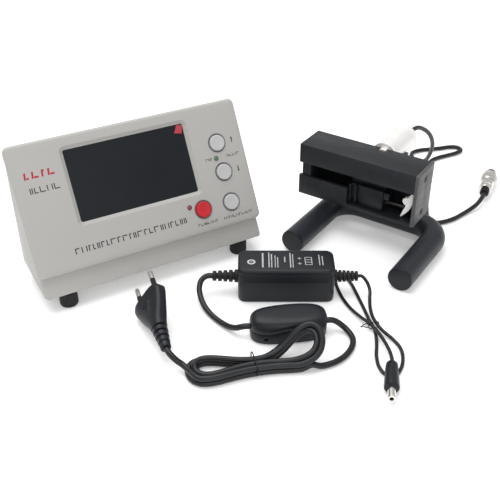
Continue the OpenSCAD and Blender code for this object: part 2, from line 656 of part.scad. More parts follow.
module dc_lead() color([0.07, 0.07, 0.07]) translate(set_shift) swept_tube(dc_route, dc_d, 8);
module dc_tie() color([0.05, 0.05, 0.05]) translate(set_shift + [35, -107.8, 0]) rotate([0, 0, 75])
    staple(7.6, 5.8, 0.7, 2);

module at_dc_plug() translate(set_shift + dc_plug_at) rotate([0, 0, dc_plug_turn]) children();
module dc_plug_body() color([0.06, 0.06, 0.07]) at_dc_plug() {
    rod_x(5, 9);
    translate([9, 0, 0]) rod_x(10, 15.4);
}
module dc_plug_barrel() color([0.82, 0.80, 0.76]) at_dc_plug() translate([24.4, 0, 0]) pipe_x(5.5, 2.2, 9.5);

front_bezel();
case_shell();
base_plate();
rubber_feet();
case_screws();
lcd_panel();
screen_film();
lcd_ribbon();
main_board();
key_board();
key_switches();
key_up();
key_down();
key_menu();
key_start();
lamp_green();
lamp_red();
sounder();
dc_socket();
mic_socket();
stand_bar();
bar_caps();
cradle_post();
post_screw();
head_channel();
head_left_block();
head_right_plate();
head_screws();
guide_rods();
jaw_spring();
sliding_jaw();
jaw_pin();
sensor_contact();
sensor_housing();
sensing_disc();
housing_cap();
sensor_cable();
connector_body();
coupling_nut();
connector_insert();
adapter_shell();
adapter_lid();
adapter_board();
mains_gland();
dc_gland();
mains_lead_short();
inline_box_base();
inline_box_lid();
mains_lead_long();
mains_hank();
hank_tie();
mains_lead_end();
plug_body();
plug_pins();
dc_lead();
dc_tie();
dc_plug_body();
dc_plug_barrel();
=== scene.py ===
"""Looks for the watch timing machine set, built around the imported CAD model.

Local frames below are in millimetres and turn into metres through the matrices,
which repeat part.scad's placements. Cords repeat part.scad's route points.
"""
import math
import random

import bmesh
import bpy
from mathutils import Matrix, Vector


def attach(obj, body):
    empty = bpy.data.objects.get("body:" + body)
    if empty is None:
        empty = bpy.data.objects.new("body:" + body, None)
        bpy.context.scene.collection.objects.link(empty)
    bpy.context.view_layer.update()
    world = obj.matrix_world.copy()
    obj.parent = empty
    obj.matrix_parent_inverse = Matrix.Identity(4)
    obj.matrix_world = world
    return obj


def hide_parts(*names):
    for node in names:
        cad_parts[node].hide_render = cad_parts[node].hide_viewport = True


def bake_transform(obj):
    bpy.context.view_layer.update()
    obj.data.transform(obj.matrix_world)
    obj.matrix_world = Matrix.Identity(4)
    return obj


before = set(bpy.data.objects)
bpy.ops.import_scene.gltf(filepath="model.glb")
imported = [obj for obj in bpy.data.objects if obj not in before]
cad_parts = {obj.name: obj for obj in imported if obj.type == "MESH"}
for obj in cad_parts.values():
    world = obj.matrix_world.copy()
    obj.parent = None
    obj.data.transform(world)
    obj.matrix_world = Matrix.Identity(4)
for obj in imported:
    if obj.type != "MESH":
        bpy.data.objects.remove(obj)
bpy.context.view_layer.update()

MM = 0.001
SHIFT = Vector((1.93, -1.68, 0.0))
ROOT = "set"


# ---------------------------------------------------------------- frames

def turn(degrees, axis):
    return Matrix.Rotation(math.radians(degrees), 4, axis)


def place(x, y, z, degrees=0.0):
    """Matrix from a local frame in millimetres to the row frame in metres."""
    return Matrix.Scale(MM, 4) @ Matrix.Translation(Vector((x, y, z)) + SHIFT) @ turn(degrees, "Z")


def shift(x, y, z):
    return Matrix.Translation((x, y, z))


LEAN = 29.0
FACE_Z = 30.0
UNIT = place(-76, 26, 0)
FACE = UNIT @ shift(0, 0, FACE_Z) @ turn(90 - LEAN, "X")
STAND = place(132.4, 2.4, 0, -62.7)
HEAD = STAND @ shift(-68, 0, 31)
BRICK = place(2.4, -37.4, 0, -29.3)
BOX = place(-22, -81, 0, -22.5)
HANK = place(-60.5, -103.5, 0, -17)
PLUG = place(-100.7, -12.7, 16.5, -11) @ turn(3.8, "X") @ turn(-54, "Y")
DC_PLUG = place(19.5, -148.4, 5.3, -128)
CONNECTOR = place(234.6, -7.6, 7.5, 38)
WORLD = place(0, 0, 0)


# ---------------------------------------------------------------- camera

def add_camera():
    data = bpy.data.cameras.new("camera")
    data.lens = 55.8
    data.sensor_width = 36
    data.clip_start = 0.01
    camera = bpy.data.objects.new("camera", data)
    bpy.context.scene.collection.objects.link(camera)
    eye = WORLD @ Vector((-256.4, -444.6, 364.8))
    aim = WORLD @ Vector((6.2, 25.8, 0))
    camera.location = eye
    camera.rotation_euler = (aim - eye).to_track_quat("-Z", "Y").to_euler()
    bpy.context.scene.camera = camera


add_camera()


# ---------------------------------------------------------------- materials

def material(name, base, rough=0.5, metallic=0.0, grain=2500.0, bump=0.05, tone=0.05, blotch=60.0,
             stretch=(1, 1, 1), rough_vary=0.08, coat=0.0, specular=0.5, distance=0.0002):
    """A moulded, painted or metal surface: fine grain in bump and roughness, slow drift in tone."""
    m = bpy.data.materials.new(name)
    m.use_nodes = True
    nodes, links = m.node_tree.nodes, m.node_tree.links
    bsdf = nodes["Principled BSDF"]
    coord = nodes.new("ShaderNodeTexCoord")
    mapping = nodes.new("ShaderNodeMapping")
    mapping.inputs["Scale"].default_value = stretch
    links.new(coord.outputs["Object"], mapping.inputs["Vector"])
    fine = nodes.new("ShaderNodeTexNoise")
    fine.inputs["Scale"].default_value = grain
    fine.inputs["Detail"].default_value = 3
    slow = nodes.new("ShaderNodeTexNoise")
    slow.inputs["Scale"].default_value = blotch
    slow.inputs["Detail"].default_value = 4
    for tex in (fine, slow):
        links.new(mapping.outputs["Vector"], tex.inputs["Vector"])
    colours = nodes.new("ShaderNodeMix")
    colours.data_type = "RGBA"
    dark = [c * (1 - tone) for c in base]
    light = [min(1.0, c * (1 + tone)) for c in base]
    colours.inputs["A"].default_value = (*dark, 1)
    colours.inputs["B"].default_value = (*light, 1)
    links.new(slow.outputs["Fac"], colours.inputs["Factor"])
    links.new(colours.outputs["Result"], bsdf.inputs["Base Color"])
    spread = nodes.new("ShaderNodeMapRange")
    spread.inputs["From Min"].default_value = 0.3
    spread.inputs["From Max"].default_value = 0.7
    spread.inputs["To Min"].default_value = max(0.02, rough - rough_vary)
    spread.inputs["To Max"].default_value = min(1.0, rough + rough_vary)
    links.new(slow.outputs["Fac"], spread.inputs["Value"])
    links.new(spread.outputs["Result"], bsdf.inputs["Roughness"])
    relief = nodes.new("ShaderNodeBump")
    relief.inputs["Strength"].default_value = bump
    relief.inputs["Distance"].default_value = distance
    links.new(fine.outputs["Fac"], relief.inputs["Height"])
    links.new(relief.outputs["Normal"], bsdf.inputs["Normal"])
    bsdf.inputs["Metallic"].default_value = metallic
    bsdf.inputs["Coat Weight"].default_value = coat
    bsdf.inputs["Specular IOR Level"].default_value = specular
    return m


CASE = material("case_plastic", (0.395, 0.388, 0.372), 0.5, grain=1800, bump=0.25, tone=0.02, blotch=30,
                specular=0.35)
CASE_DARK = material("case_rear_plastic", (0.38, 0.372, 0.36), 0.55, grain=1800, bump=0.25, tone=0.02,
                     blotch=30)
KEY = material("key_plastic", (0.455, 0.455, 0.46), 0.42, grain=2400, bump=0.12, tone=0.03)
KEY_RED = material("key_red_plastic", (0.50, 0.016, 0.024), 0.32, grain=2400, bump=0.06, tone=0.05,
                   specular=0.35)
WELL = material("key_well_shadow", (0.13, 0.13, 0.135), 0.6, grain=2000, bump=0.1, tone=0.1)
LENS_GREEN = material("lens_green", (0.055, 0.13, 0.06), 0.18, grain=900, bump=0.03, tone=0.1, coat=0.4)
LENS_RED = material("lens_red", (0.20, 0.022, 0.03), 0.18, grain=900, bump=0.03, tone=0.1, coat=0.4)
GLASS = material("screen_glass", (0.012, 0.013, 0.018), 0.12, grain=300, bump=0.01, tone=0.08, blotch=15)
FILM = material("screen_film", (0.0065, 0.0085, 0.0115), 0.38, grain=90, bump=0.10, tone=0.15, blotch=25,
                rough_vary=0.1, specular=0.22, distance=0.0004)
TAB_RED = material("film_tab_red", (0.36, 0.008, 0.024), 0.35, grain=700, bump=0.05, tone=0.15, blotch=200)
INK = material("print_ink_dark", (0.022, 0.022, 0.025), 0.5, grain=3000, bump=0.05, tone=0.1, specular=0.3)
INK_RED = material("print_ink_red", (0.42, 0.010, 0.030), 0.45, grain=3000, bump=0.05, tone=0.06,
                   specular=0.3)
INK_WHITE = material("print_ink_white", (0.50, 0.51, 0.52), 0.5, grain=2600, bump=0.08, tone=0.12)
RUBBER = material("rubber_foot", (0.010, 0.010, 0.011), 0.75, grain=1500, bump=0.3, tone=0.1, specular=0.3)
POWDER = material("bar_powder_coat", (0.014, 0.0165, 0.0215), 0.42, grain=1500, bump=0.22, tone=0.1,
                  blotch=40, specular=0.32)
ANODISED = material("head_black_anodised", (0.0145, 0.0165, 0.020), 0.40, 0.2, grain=900, bump=0.10,
                    tone=0.12, blotch=50, specular=0.32)
JAW_BLACK = material("jaw_black", (0.0105, 0.0115, 0.013), 0.38, grain=1600, bump=0.10, tone=0.12,
                     specular=0.25)
PLATE_GREY = material("end_plate_grey", (0.088, 0.089, 0.091), 0.45, 0.3, grain=1400, bump=0.12, tone=0.06,
                      stretch=(1, 1, 4), specular=0.35)
SATIN = material("sensor_satin_silver", (0.90, 0.89, 0.87), 0.46, 0.55, grain=1200, bump=0.08, tone=0.03,
                 rough_vary=0.06)
STEEL = material("ground_steel", (0.62, 0.62, 0.63), 0.25, 1.0, grain=2200, bump=0.06, tone=0.05)
NICKEL = material("nickel_plate", (0.72, 0.70, 0.68), 0.20, 1.0, grain=1500, bump=0.04, tone=0.05)
WHITE = material("contact_white", (0.86, 0.86, 0.84), 0.35, grain=1800, bump=0.05, tone=0.02)
SCREW_DARK = material("screw_black_oxide", (0.008, 0.008, 0.009), 0.4, 0.2, grain=2000, bump=0.1, tone=0.1,
                      specular=0.25)
# Ground steel darkened with painted shade, for the guide rods that sit in the shade inside the head.
ROD_STEEL_PAINTED_SHADE = material("guide_rod_steel_painted_shade", (0.07, 0.07, 0.075), 0.3, 0.9, grain=2000, bump=0.05, tone=0.08)
PLASTIC = material("adapter_plastic", (0.0075, 0.0092, 0.0125), 0.40, grain=1700, bump=0.22, tone=0.08,
                   blotch=50, specular=0.30)
PLASTIC_SOFT = material("gland_plastic", (0.008, 0.008, 0.010), 0.48, grain=1500, bump=0.12, tone=0.1,
                        specular=0.28)
SHEATH = material("cord_sheath", (0.0085, 0.0095, 0.0115), 0.36, grain=1100, bump=0.10, tone=0.12,
                  blotch=120, specular=0.36)
PCB = material("circuit_board", (0.02, 0.12, 0.05), 0.4, grain=900, bump=0.1, tone=0.15)
BRASS = material("disc_brass", (0.62, 0.48, 0.2), 0.35, 1.0, grain=1500, bump=0.05, tone=0.08)
RIBBON = material("flex_ribbon", (0.45, 0.25, 0.06), 0.3, grain=900, bump=0.05, tone=0.08, coat=0.3)


# ---------------------------------------------------------------- mesh tools

def skin(bm, rows):
    """Quads between each closed row of vertices and the next."""
    n = len(rows[0])
    for low, high in zip(rows, rows[1:]):
        for i in range(n):
            j = (i + 1) % n
            bm.faces.new((low[i], low[j], high[j], high[i]))


def add_loops(bm, loops):
    """A closed solid skinned over point loops that all have the same number of points."""
    rows = [[bm.verts.new(p) for p in loop] for loop in loops]
    skin(bm, rows)
    bm.faces.new(list(reversed(rows[0])))
    bm.faces.new(rows[-1])


def add_box(bm, low, high):
    (x0, y0, z0), (x1, y1, z1) = low, high
    ring = [(x0, y0), (x1, y0), (x1, y1), (x0, y1)]
    add_loops(bm, [[(x, y, z0) for x, y in ring], [(x, y, z1) for x, y in ring]])


def rounded(w, h, r, steps=6):
    """Corner-rounded rectangle outline, counter-clockwise, centred on the origin."""
    out = []
    for cx, cy, start in ((1, 1, 0), (-1, 1, 90), (-1, -1, 180), (1, -1, 270)):
        for k in range(steps + 1):
            a = math.radians(start + 90 * k / steps)
            out.append((cx * (w / 2 - r) + r * math.cos(a), cy * (h / 2 - r) + r * math.sin(a)))
    return out


def oval(half_x, half_y, power, n):
    """Points round a soft-cornered oval: power 2 is an ellipse, and higher powers are squarer."""
    out = []
    for k in range(n):
        c, s = math.cos(2 * math.pi * k / n), math.sin(2 * math.pi * k / n)
        out.append((half_x * math.copysign(abs(c) ** (2 / power), c),
                    half_y * math.copysign(abs(s) ** (2 / power), s)))
    return out


def add_slab(bm, outline_of, levels, centre=(0, 0)):
    """A slab of stacked outlines: levels are (z, inset) and outline_of(inset) gives the loop."""
    cx, cy = centre
    add_loops(bm, [[(x + cx, y + cy, z) for x, y in outline_of(inset)] for z, inset in levels])


def rounded_levels(z0, z1, r0, r1, steps=4):
    """Levels from z0 to z1 with an edge radius r0 at the bottom and r1 at the top."""
    levels = []
    if r0:
        for k in range(steps):
            a = math.pi / 2 * k / steps
            levels.append((z0 + r0 * (1 - math.cos(a)), r0 * (1 - math.sin(a))))
        levels.append((z0 + r0, 0.0))
    else:
        levels.append((z0, 0.0))
    if r1:
        levels.append((z1 - r1, 0.0))
        for k in range(1, steps + 1):
            a = math.pi / 2 * k / steps
            levels.append((z1 - r1 * (1 - math.sin(a)), r1 * (1 - math.cos(a))))
    else:
        levels.append((z1, 0.0))
    return levels


def turned_loop(u, r, n, axis, at):
    """n points round the axis, at position u along it and radius r from it."""
    out = []
    for k in range(n):
        c, s = r * math.cos(2 * math.pi * k / n), r * math.sin(2 * math.pi * k / n)
        p = {"X": (u, c, s), "Y": (s, u, c), "Z": (c, s, u)}[axis]
        out.append(tuple(q + w for q, w in zip(p, at)))
    return out


def add_lathe(bm, profile, n=48, axis="X", at=(0, 0, 0)):
    """A turned solid from (position along the axis, radius) points."""
    add_loops(bm, [turned_loop(u, r, n, axis, at) for u, r in profile])


def add_ring(bm, outer, inner, n=48, axis="X", at=(0, 0, 0)):
    """A turned ring: outer profile forwards, inner profile back to where it began."""
    profile = list(outer) + list(reversed(inner))
    rows = [[bm.verts.new(p) for p in turned_loop(u, r, n, axis, at)] for u, r in profile]
    skin(bm, rows + rows[:1])


def bevel_sharp(bm, size, segments=2, angle=30.0):
    bmesh.ops.remove_doubles(bm, verts=bm.verts, dist=1e-4)
    bmesh.ops.dissolve_limit(bm, angle_limit=math.radians(0.5), verts=bm.verts, edges=bm.edges)
    edges = [e for e in bm.edges if len(e.link_faces) == 2
             and e.calc_face_angle(0.0) > math.radians(angle)]
    bmesh.ops.bevel(bm, geom=edges, offset=size, offset_type="OFFSET", segments=segments,
                    profile=0.5, affect="EDGES", clamp_overlap=True)


def to_object(name, bm, matrix):
    bmesh.ops.recalc_face_normals(bm, faces=bm.faces)
    mesh = bpy.data.meshes.new(name)
    bm.to_mesh(mesh)
    bm.free()
    mesh.transform(matrix)
    obj = bpy.data.objects.new(name, mesh)
    bpy.context.scene.collection.objects.link(obj)
    return obj


def piece(name, bm, matrix, mat, body=ROOT, hides=(), slot=None, bevel=0.0, segments=2, smooth=40.0):
    if bevel:
        bmesh.ops.recalc_face_normals(bm, faces=bm.faces)
        bevel_sharp(bm, bevel, segments)
    obj = to_object(name, bm, matrix)
    mesh = obj.data
    for face in mesh.polygons:
        face.use_smooth = True
    mesh.set_sharp_from_angle(angle=math.radians(smooth))
    mesh.materials.clear()
    mesh.materials.append(mat)
    if body:
        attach(obj, body)
    if hides:
        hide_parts(*hides)
    return obj


def solid(fill):
    """A bmesh filled by the given function, which is called with it."""
    bm = bmesh.new()
    fill(bm)
    bmesh.ops.recalc_face_normals(bm, faces=bm.faces)
    return bm


def lathe(profile, n=48, axis="X", at=(0, 0, 0)):
    return solid(lambda bm: add_lathe(bm, profile, n, axis, at))


def slab(outline_of, levels, centre=(0, 0)):
    return solid(lambda bm: add_slab(bm, outline_of, levels, centre))


def prism_x(points, half):
    """A (y, z) profile extruded along X from -half to half."""
    return solid(lambda bm: add_loops(bm, [[(x, y, z) for y, z in points] for x in (-half, half)]))


def box(low, high):
    return solid(lambda bm: add_box(bm, low, high))


def rod(axis, start, end, radius, at=(0, 0, 0), n=48):
    return lathe([(start, radius), (end, radius)], n, axis, at)


def moved(bm, matrix):
    bmesh.ops.transform(bm, matrix=matrix, verts=bm.verts)
    return bm


def combine(first, joins=(), cuts=()):
    """Boolean union and difference of bmeshes; gives a new bmesh."""
    base = to_object("combine_base", first, Matrix.Identity(4))
    helpers = []
    for mode, group in (("UNION", joins), ("DIFFERENCE", cuts)):
        for bm in group:
            helper = to_object("combine_helper", bm, Matrix.Identity(4))
            helpers.append(helper)
            mod = base.modifiers.new("combine", "BOOLEAN")
            mod.operation = mode
            mod.solver = "EXACT"
            mod.object = helper
    graph = bpy.context.evaluated_depsgraph_get()
    out = bmesh.new()
    out.from_object(base, graph)
    for obj in [base] + helpers:
        bpy.data.objects.remove(obj)
    return out


# ---------------------------------------------------------------- cords

def smooth_route(points, step):
    """Evenly spaced points, in millimetres, on a smooth curve through the route."""
    pts = [Vector(p) for p in points]
    pts = [pts[0] * 2 - pts[1]] + pts + [pts[-1] * 2 - pts[-2]]
    dense = []
    for a, b, c, d in zip(pts, pts[1:], pts[2:], pts[3:]):
        t0, t1 = 0.0, (b - a).length ** 0.5
        t2 = t1 + (c - b).length ** 0.5
        t3 = t2 + (d - c).length ** 0.5
        for k in range(16):
            t = t1 + (t2 - t1) * k / 16
            a1 = a * ((t1 - t) / (t1 - t0)) + b * ((t - t0) / (t1 - t0))
            a2 = b * ((t2 - t) / (t2 - t1)) + c * ((t - t1) / (t2 - t1))
            a3 = c * ((t3 - t) / (t3 - t2)) + d * ((t - t2) / (t3 - t2))
            b1 = a1 * ((t2 - t) / (t2 - t0)) + a2 * ((t - t0) / (t2 - t0))
            b2 = a2 * ((t3 - t) / (t3 - t1)) + a3 * ((t - t1) / (t3 - t1))
            dense.append(b1 * ((t2 - t) / (t2 - t1)) + b2 * ((t - t1) / (t2 - t1)))
    dense.append(pts[-2])
    total = sum((q - p).length for p, q in zip(dense, dense[1:]))
    count = max(2, round(total / step))
    out, travelled, k = [dense[0]], 0.0, 0
    for i in range(1, count):
        goal = total * i / count
        while travelled + (dense[k + 1] - dense[k]).length < goal:
            travelled += (dense[k + 1] - dense[k]).length
            k += 1
        span = (dense[k + 1] - dense[k]).length
        out.append(dense[k].lerp(dense[k + 1], (goal - travelled) / span))
    return out + [dense[-1]]


def add_tube(bm, points, radius, n=12):
    """A round tube whose rings are carried along the points without twisting."""
    pts = [Vector(p) for p in points]
    side = (pts[1] - pts[0]).normalized().orthogonal().normalized()
    loops = []
    for i, p in enumerate(pts):
        ahead = (pts[min(i + 1, len(pts) - 1)] - pts[max(i - 1, 0)]).normalized()
        side = (side - ahead * side.dot(ahead)).normalized()
        other = ahead.cross(side)
        loops.append([p + radius * (math.cos(2 * math.pi * k / n) * side
                                    + math.sin(2 * math.pi * k / n) * other) for k in range(n)])
    add_loops(bm, loops)


MAINS_D, DC_D, SENSOR_D = 4.4, 2.6, 4.0
MAINS_A = [(-46.7, -9.8, 14.6), (-50.2, -7.9, 14.6), (-55, -8, 12.8), (-59.4, -12.4, 9.6), (-62, -20, 6),
           (-63, -29, 3.6), (-62.3, -39, 2.4), (-60.4, -49, 2.4), (-58, -58, 3.6), (-55.4, -65, 6.6),
           (-52.3, -68.4, 9), (-47.7, -70.4, 9)]
MAINS_B = [(3.7, -91.6, 9), (7.4, -93.2, 9), (10.6, -95, 7.4), (13.4, -98.4, 5), (15, -104, 3),
           (14, -110.5, 2.4), (10, -116.5, 2.4), (3.5, -121.5, 2.4), (-4.5, -124.8, 2.4), (-13, -125.8, 2.4),
           (-22, -124.5, 2.6), (-31, -120, 3.2)]
MAINS_C = [(-101.8, -84.6, 4.5), (-105.4, -81.2, 6), (-108.6, -77.4, 8.8), (-110.8, -72.8, 11.3),
           (-111.4, -67.6, 12.7)]
DC = [(50.6, -64.4, 14.6), (53.2, -65.9, 14.6), (55.6, -70, 10.6), (54.6, -75.5, 7), (50, -82, 4.6),
      (44.5, -90, 4.2), (39.8, -99, 4.2), (37.2, -107.6, 4.2), (36.6, -116, 3.6), (38.6, -125, 1.8),
      (37.8, -135, 1.4), (32.6, -144.5, 1.4), (25, -152, 1.4), (17, -155.6, 1.4), (12.2, -151.6, 1.4),
      (12.8, -143.6, 1.4), (18, -133.6, 1.4), (24.6, -125, 1.4), (30.4, -116.6, 1.4), (34.9, -107.8, 1.4),
      (37, -99.6, 1.4), (40.4, -90, 1.4), (44.2, -79, 1.4), (48.2, -67, 1.4), (51.6, -56, 1.4),
      (52.4, -47.6, 1.4), (47.8, -43.6, 1.4), (42.8, -47.4, 1.4), (38.4, -57, 1.4), (34.8, -69, 1.4),
      (32.8, -82, 1.8), (32.4, -95, 3), (32.9, -107.4, 4.2), (31.6, -118, 4.6), (29.2, -128, 5),
      (25.8, -138, 5.3), (22.6, -144.4, 5.3), (19.5, -148.4, 5.3)]
SENSOR = [(163.7, 25.3, 70.5), (171.7, 29.4, 70.5), (181, 33.4, 69), (191, 36, 64), (200.4, 38.6, 56.4),
          (208.6, 42.4, 46.6), (215, 47.5, 35.4), (219.5, 54.5, 23), (223.5, 63, 12.5), (225.6, 72.5, 5.4),
          (227.5, 82, 2.4), (230.6, 91, 2.1), (237, 97.4, 2.1), (247, 97.8, 2.1), (258, 94.4, 2.1),
          (269, 91, 2.1), (279, 88.6, 2.1), (285, 84, 2.1), (284, 77.4, 2.1), (276, 75, 2.1),
          (265, 75.2, 2.1),
          (254, 75.8, 2.1), (243, 74.4, 2.1), (233, 68.4, 2.1), (222.6, 58.4, 2.1), (211, 45.4, 2.1),
          (199.6, 31.8, 2.1), (188.4, 18, 2.1), (178, 5, 2.1), (169.6, -5.6, 2.1), (165.6, -12.6, 2.1),
          (168, -19, 2.1), (176, -21.6, 2.1), (187, -21.8, 2.1), (198, -19.8, 2.1), (208, -18, 2.8),
          (218.6, -16.2, 5), (226.2, -13.1, 6.9), (231.2, -10.3, 7.4), (234.6, -7.6, 7.5)]


def ease(t, a, b):
    """0 before a, 1 after b, and a smooth step between them."""
    u = min(1.0, max(0.0, (t - a) / (b - a)))
    return u * u * (3 - 2 * u)


def hank_turns():
    """The folded turns of the mains lead, from its lower right to its left end, in the hank's frame."""
    start, sweep, steps = -40.0, 1192.0, 110
    out = []
    for k in range(steps + 1):
        phi = start - sweep * k / steps
        turns = (start - phi) / 360
        inner = ease(turns, 0.72, 1.05) - ease(turns, 2.68, 3.02)
        half_length = 47 - 4.6 * inner
        waist = 6.7 - 4.45 * inner
        belly = 20 - 2.0 * inner
        z = 2.3 + 4.45 * ease(turns, 1.68, 2.0)
        c, s = math.cos(math.radians(phi)), math.sin(math.radians(phi))
        x, y = half_length * c, s * (waist + belly * c * c)
        # The hank is bent in the middle, and the far side of its right end rises beside the in-line box.
        y += 0.075 * math.sqrt(x * x + 64)
        if x > 0:
            z += ease(x, 0, 34) * max(0.0, -5 + 0.38 * x + 0.62 * y)
        out.append((x, y, z))
    return out


def cord_route(points, diameter):
    return smooth_route(points, diameter * 0.55)


def cord_piece(name, path, diameter, hides):
    """A free cord along path, in millimetres."""
    bm = bmesh.new()
    add_tube(bm, path, diameter / 2, 16)
    obj = piece(name, bm, WORLD, SHEATH, hides=hides, slot="cord", smooth=60)


# ---------------------------------------------------------------- display unit

def face_pt(s, d):
    """Y and z, from the unit's own origin, of a point s up the face and d outward from it."""
    a = math.radians(LEAN)
    return s * math.sin(a) - d * math.cos(a), FACE_Z + s * math.cos(a) + d * math.sin(a)


# Millimetres. The bezel's size and corner, the plane of its back, and the case behind it.
BEZEL_W, BEZEL_H, BEZEL_R = 186, 99, 4.5
BEZEL_BACK = -5.5
CASE_HALF = 91.5
CASE_DEPTH = 61
WALL = 2.4
SCREEN = (-3, 60.6)
KEYS = {"key_up": (70, 66.6), "key_down": (70, 43), "key_menu": (70, 18.2), "key_start": (45, 18.2)}
LAMPS = {"lamp_green": (66.2, 54.8), "lamp_red": (33.8, 22.5)}
BASE_Y, BASE_Z = face_pt(-17, BEZEL_BACK)
REAR = BASE_Y + CASE_DEPTH
DC_SOCKET = (-58, 0, 30)
MIC_SOCKET = (56, 0, 32)


def build_bezel():
    middle = (0, BEZEL_H / 2)
    plate = slab(lambda i: rounded(BEZEL_W - 2 * i, BEZEL_H - 2 * i, BEZEL_R - i, 8),
                 rounded_levels(BEZEL_BACK, 0, 0, 2.6, 6), middle)
    hollow = slab(lambda i: rounded(BEZEL_W - 2 * WALL, BEZEL_H - 2 * WALL, 2.4, 8),
                  [(-6.5, 0), (-2.5, 0)], middle)
    window = slab(lambda i: rounded(96.8 - 2 * i, 54.8 - 2 * i, 1.6 - i, 6),
                  [(-4, 0), (-1.9, 0), (-0.15, -2.6), (0.4, -3.0)], SCREEN)
    cuts = [hollow, window]
    key_hole = [(-7, 6.4), (-1.6, 6.4), (-1.6, 7.5), (-0.3, 7.5), (0.3, 8.1)]
    cuts += [lathe(key_hole, 48, "Z", (u, s, 0)) for u, s in KEYS.values()]
    cuts += [rod("Z", -4, 1, 2.05, (u, s, 0), 32) for u, s in LAMPS.values()]
    piece("bezel", combine(plate, cuts=cuts), FACE, CASE, hides=["front_bezel"], slot="case", smooth=30)


def build_case():
    top = face_pt(97.5, BEZEL_BACK)
    body = prism_x([(BASE_Y, BASE_Z), top, (REAR, 101), (REAR, BASE_Z)], CASE_HALF)
    bevel_sharp(body, 2.6, 4)
    inner_low = face_pt(-19, BEZEL_BACK - WALL)
    inner_top = face_pt(94.6, BEZEL_BACK - WALL)
    inner_rear = REAR - WALL
    hollow = prism_x([inner_low, inner_top, (inner_rear, 99.5), (inner_rear, inner_low[1])],
                     CASE_HALF - WALL)
    opening = slab(lambda i: rounded(175, 93, 4, 5), [(-9, 0), (-4, 0)], (0, BEZEL_H / 2))
    through = (REAR - 4, REAR + 1)
    cuts = [hollow, moved(opening, UNIT.inverted() @ FACE), rod("Y", *through, 5.6, DC_SOCKET),
            rod("Y", *through, 6.1, MIC_SOCKET)]
    cuts += [rod("Y", *through, 1.2, (-15 + 5 * k, 0, 60), 24) for k in range(7)]
    piece("case", combine(body, cuts=cuts), UNIT, CASE, hides=["case_shell"], slot="case", smooth=30)


def build_feet():
    bm = bmesh.new()
    for x in (-73, 73):
        for y in (4, 48):
            add_ring(bm, [(0, 5.6), (0.5, 6.5), (1.6, 7.0), (12.3, 7.0)],
                     [(0, 3.6), (3.9, 3.5), (4.0, 1.7), (12.3, 1.7)], 40, "Z", (x, y, 0))
    piece("feet", bm, UNIT, RUBBER, hides=["rubber_feet"], slot="feet")


def build_screen():
    """The protective film, faintly wavy, and the red tab that pulls it off."""
    w, h = 95.2, 53.2
    nx, ny = 48, 28
    bm = bmesh.new()
    grid = []
    for j in range(ny + 1):
        row = []
        for i in range(nx + 1):
            x, y = -w / 2 + w * i / nx, -h / 2 + h * j / ny
            lift = 0.035 * math.sin(x * 0.11 + y * 0.05) + 0.03 * math.sin(y * 0.21 - x * 0.04)
            row.append(bm.verts.new((SCREEN[0] + x, SCREEN[1] + y, -2.44 + lift)))
        grid.append(row)
    for j in range(ny):
        for i in range(nx):
            bm.faces.new((grid[j][i], grid[j][i + 1], grid[j + 1][i + 1], grid[j + 1][i]))
    ret = bmesh.ops.extrude_face_region(bm, geom=list(bm.faces))
    for v in [g for g in ret["geom"] if isinstance(g, bmesh.types.BMVert)]:
        v.co.z = -2.66
    piece("screen_sheet", bm, FACE, FILM, hides=["screen_film"], slot="film")
    tab = bmesh.new()
    corner = [(37.4, 81.6), (43.2, 80.2), (44.9, 86.8), (40.6, 87.5)]
    lift = [0.0, 1.1, 1.5, 0.3]
    add_loops(tab, [[(x, y, -2.36 + z) for (x, y), z in zip(corner, lift)],
                    [(x, y, -2.18 + z) for (x, y), z in zip(corner, lift)]])
    bmesh.ops.recalc_face_normals(tab, faces=tab.faces)
    bmesh.ops.subdivide_edges(tab, edges=tab.edges, cuts=3, use_grid_fill=True)
    piece("film_tab", tab, FACE, TAB_RED, slot="key_red")


def build_keys():
    cap = [(-8, 2), (-6.2, 2), (-6.2, 7.5), (-4.6, 7.5), (-4.6, 6.3), (0.9, 6.3), (1.25, 6.2), (1.5, 5.9),
           (1.6, 5.4), (1.52, 4.6), (1.36, 3.2), (1.28, 1.6), (1.26, 0.2)]
    for name, (u, s) in KEYS.items():
        mat, slot = (KEY_RED, "key_red") if name == "key_start" else (KEY, "key")
        piece(name + "_cap", lathe(cap, 64, "Z", (u, s, 0)), FACE, mat, name, [name], slot)
        well = bmesh.new()
        add_ring(well, [(-1.6, 7.49), (-0.85, 7.49)], [(-1.6, 6.42), (-0.85, 6.5)], 64, "Z", (u, s, 0))
        piece(name + "_well", well, FACE, WELL, slot="switch")
    lens = [(-13, 1.95), (-0.1, 1.95), (0.35, 1.85), (0.75, 1.45), (0.98, 0.9), (1.04, 0.1)]
    for name, (u, s) in LAMPS.items():
        mat, slot = (LENS_GREEN, "lamp_g") if name == "lamp_green" else (LENS_RED, "lamp_r")
        piece(name + "_lens", lathe(lens, 40, "Z", (u, s, 0)), FACE, mat, hides=[name], slot=slot)


PRINT_Z = (-0.02, 0.05)


def add_bar(bm, u, s, w, h, tilt=0.0):
    """A thin printed bar centred on (u, s), leaning by tilt, standing just proud of the face."""
    ring = [(-w / 2, -h / 2), (w / 2, -h / 2), (w / 2, h / 2), (-w / 2, h / 2)]
    add_loops(bm, [[(u + x + y * tilt, s + y, z) for x, y in ring] for z in PRINT_Z])


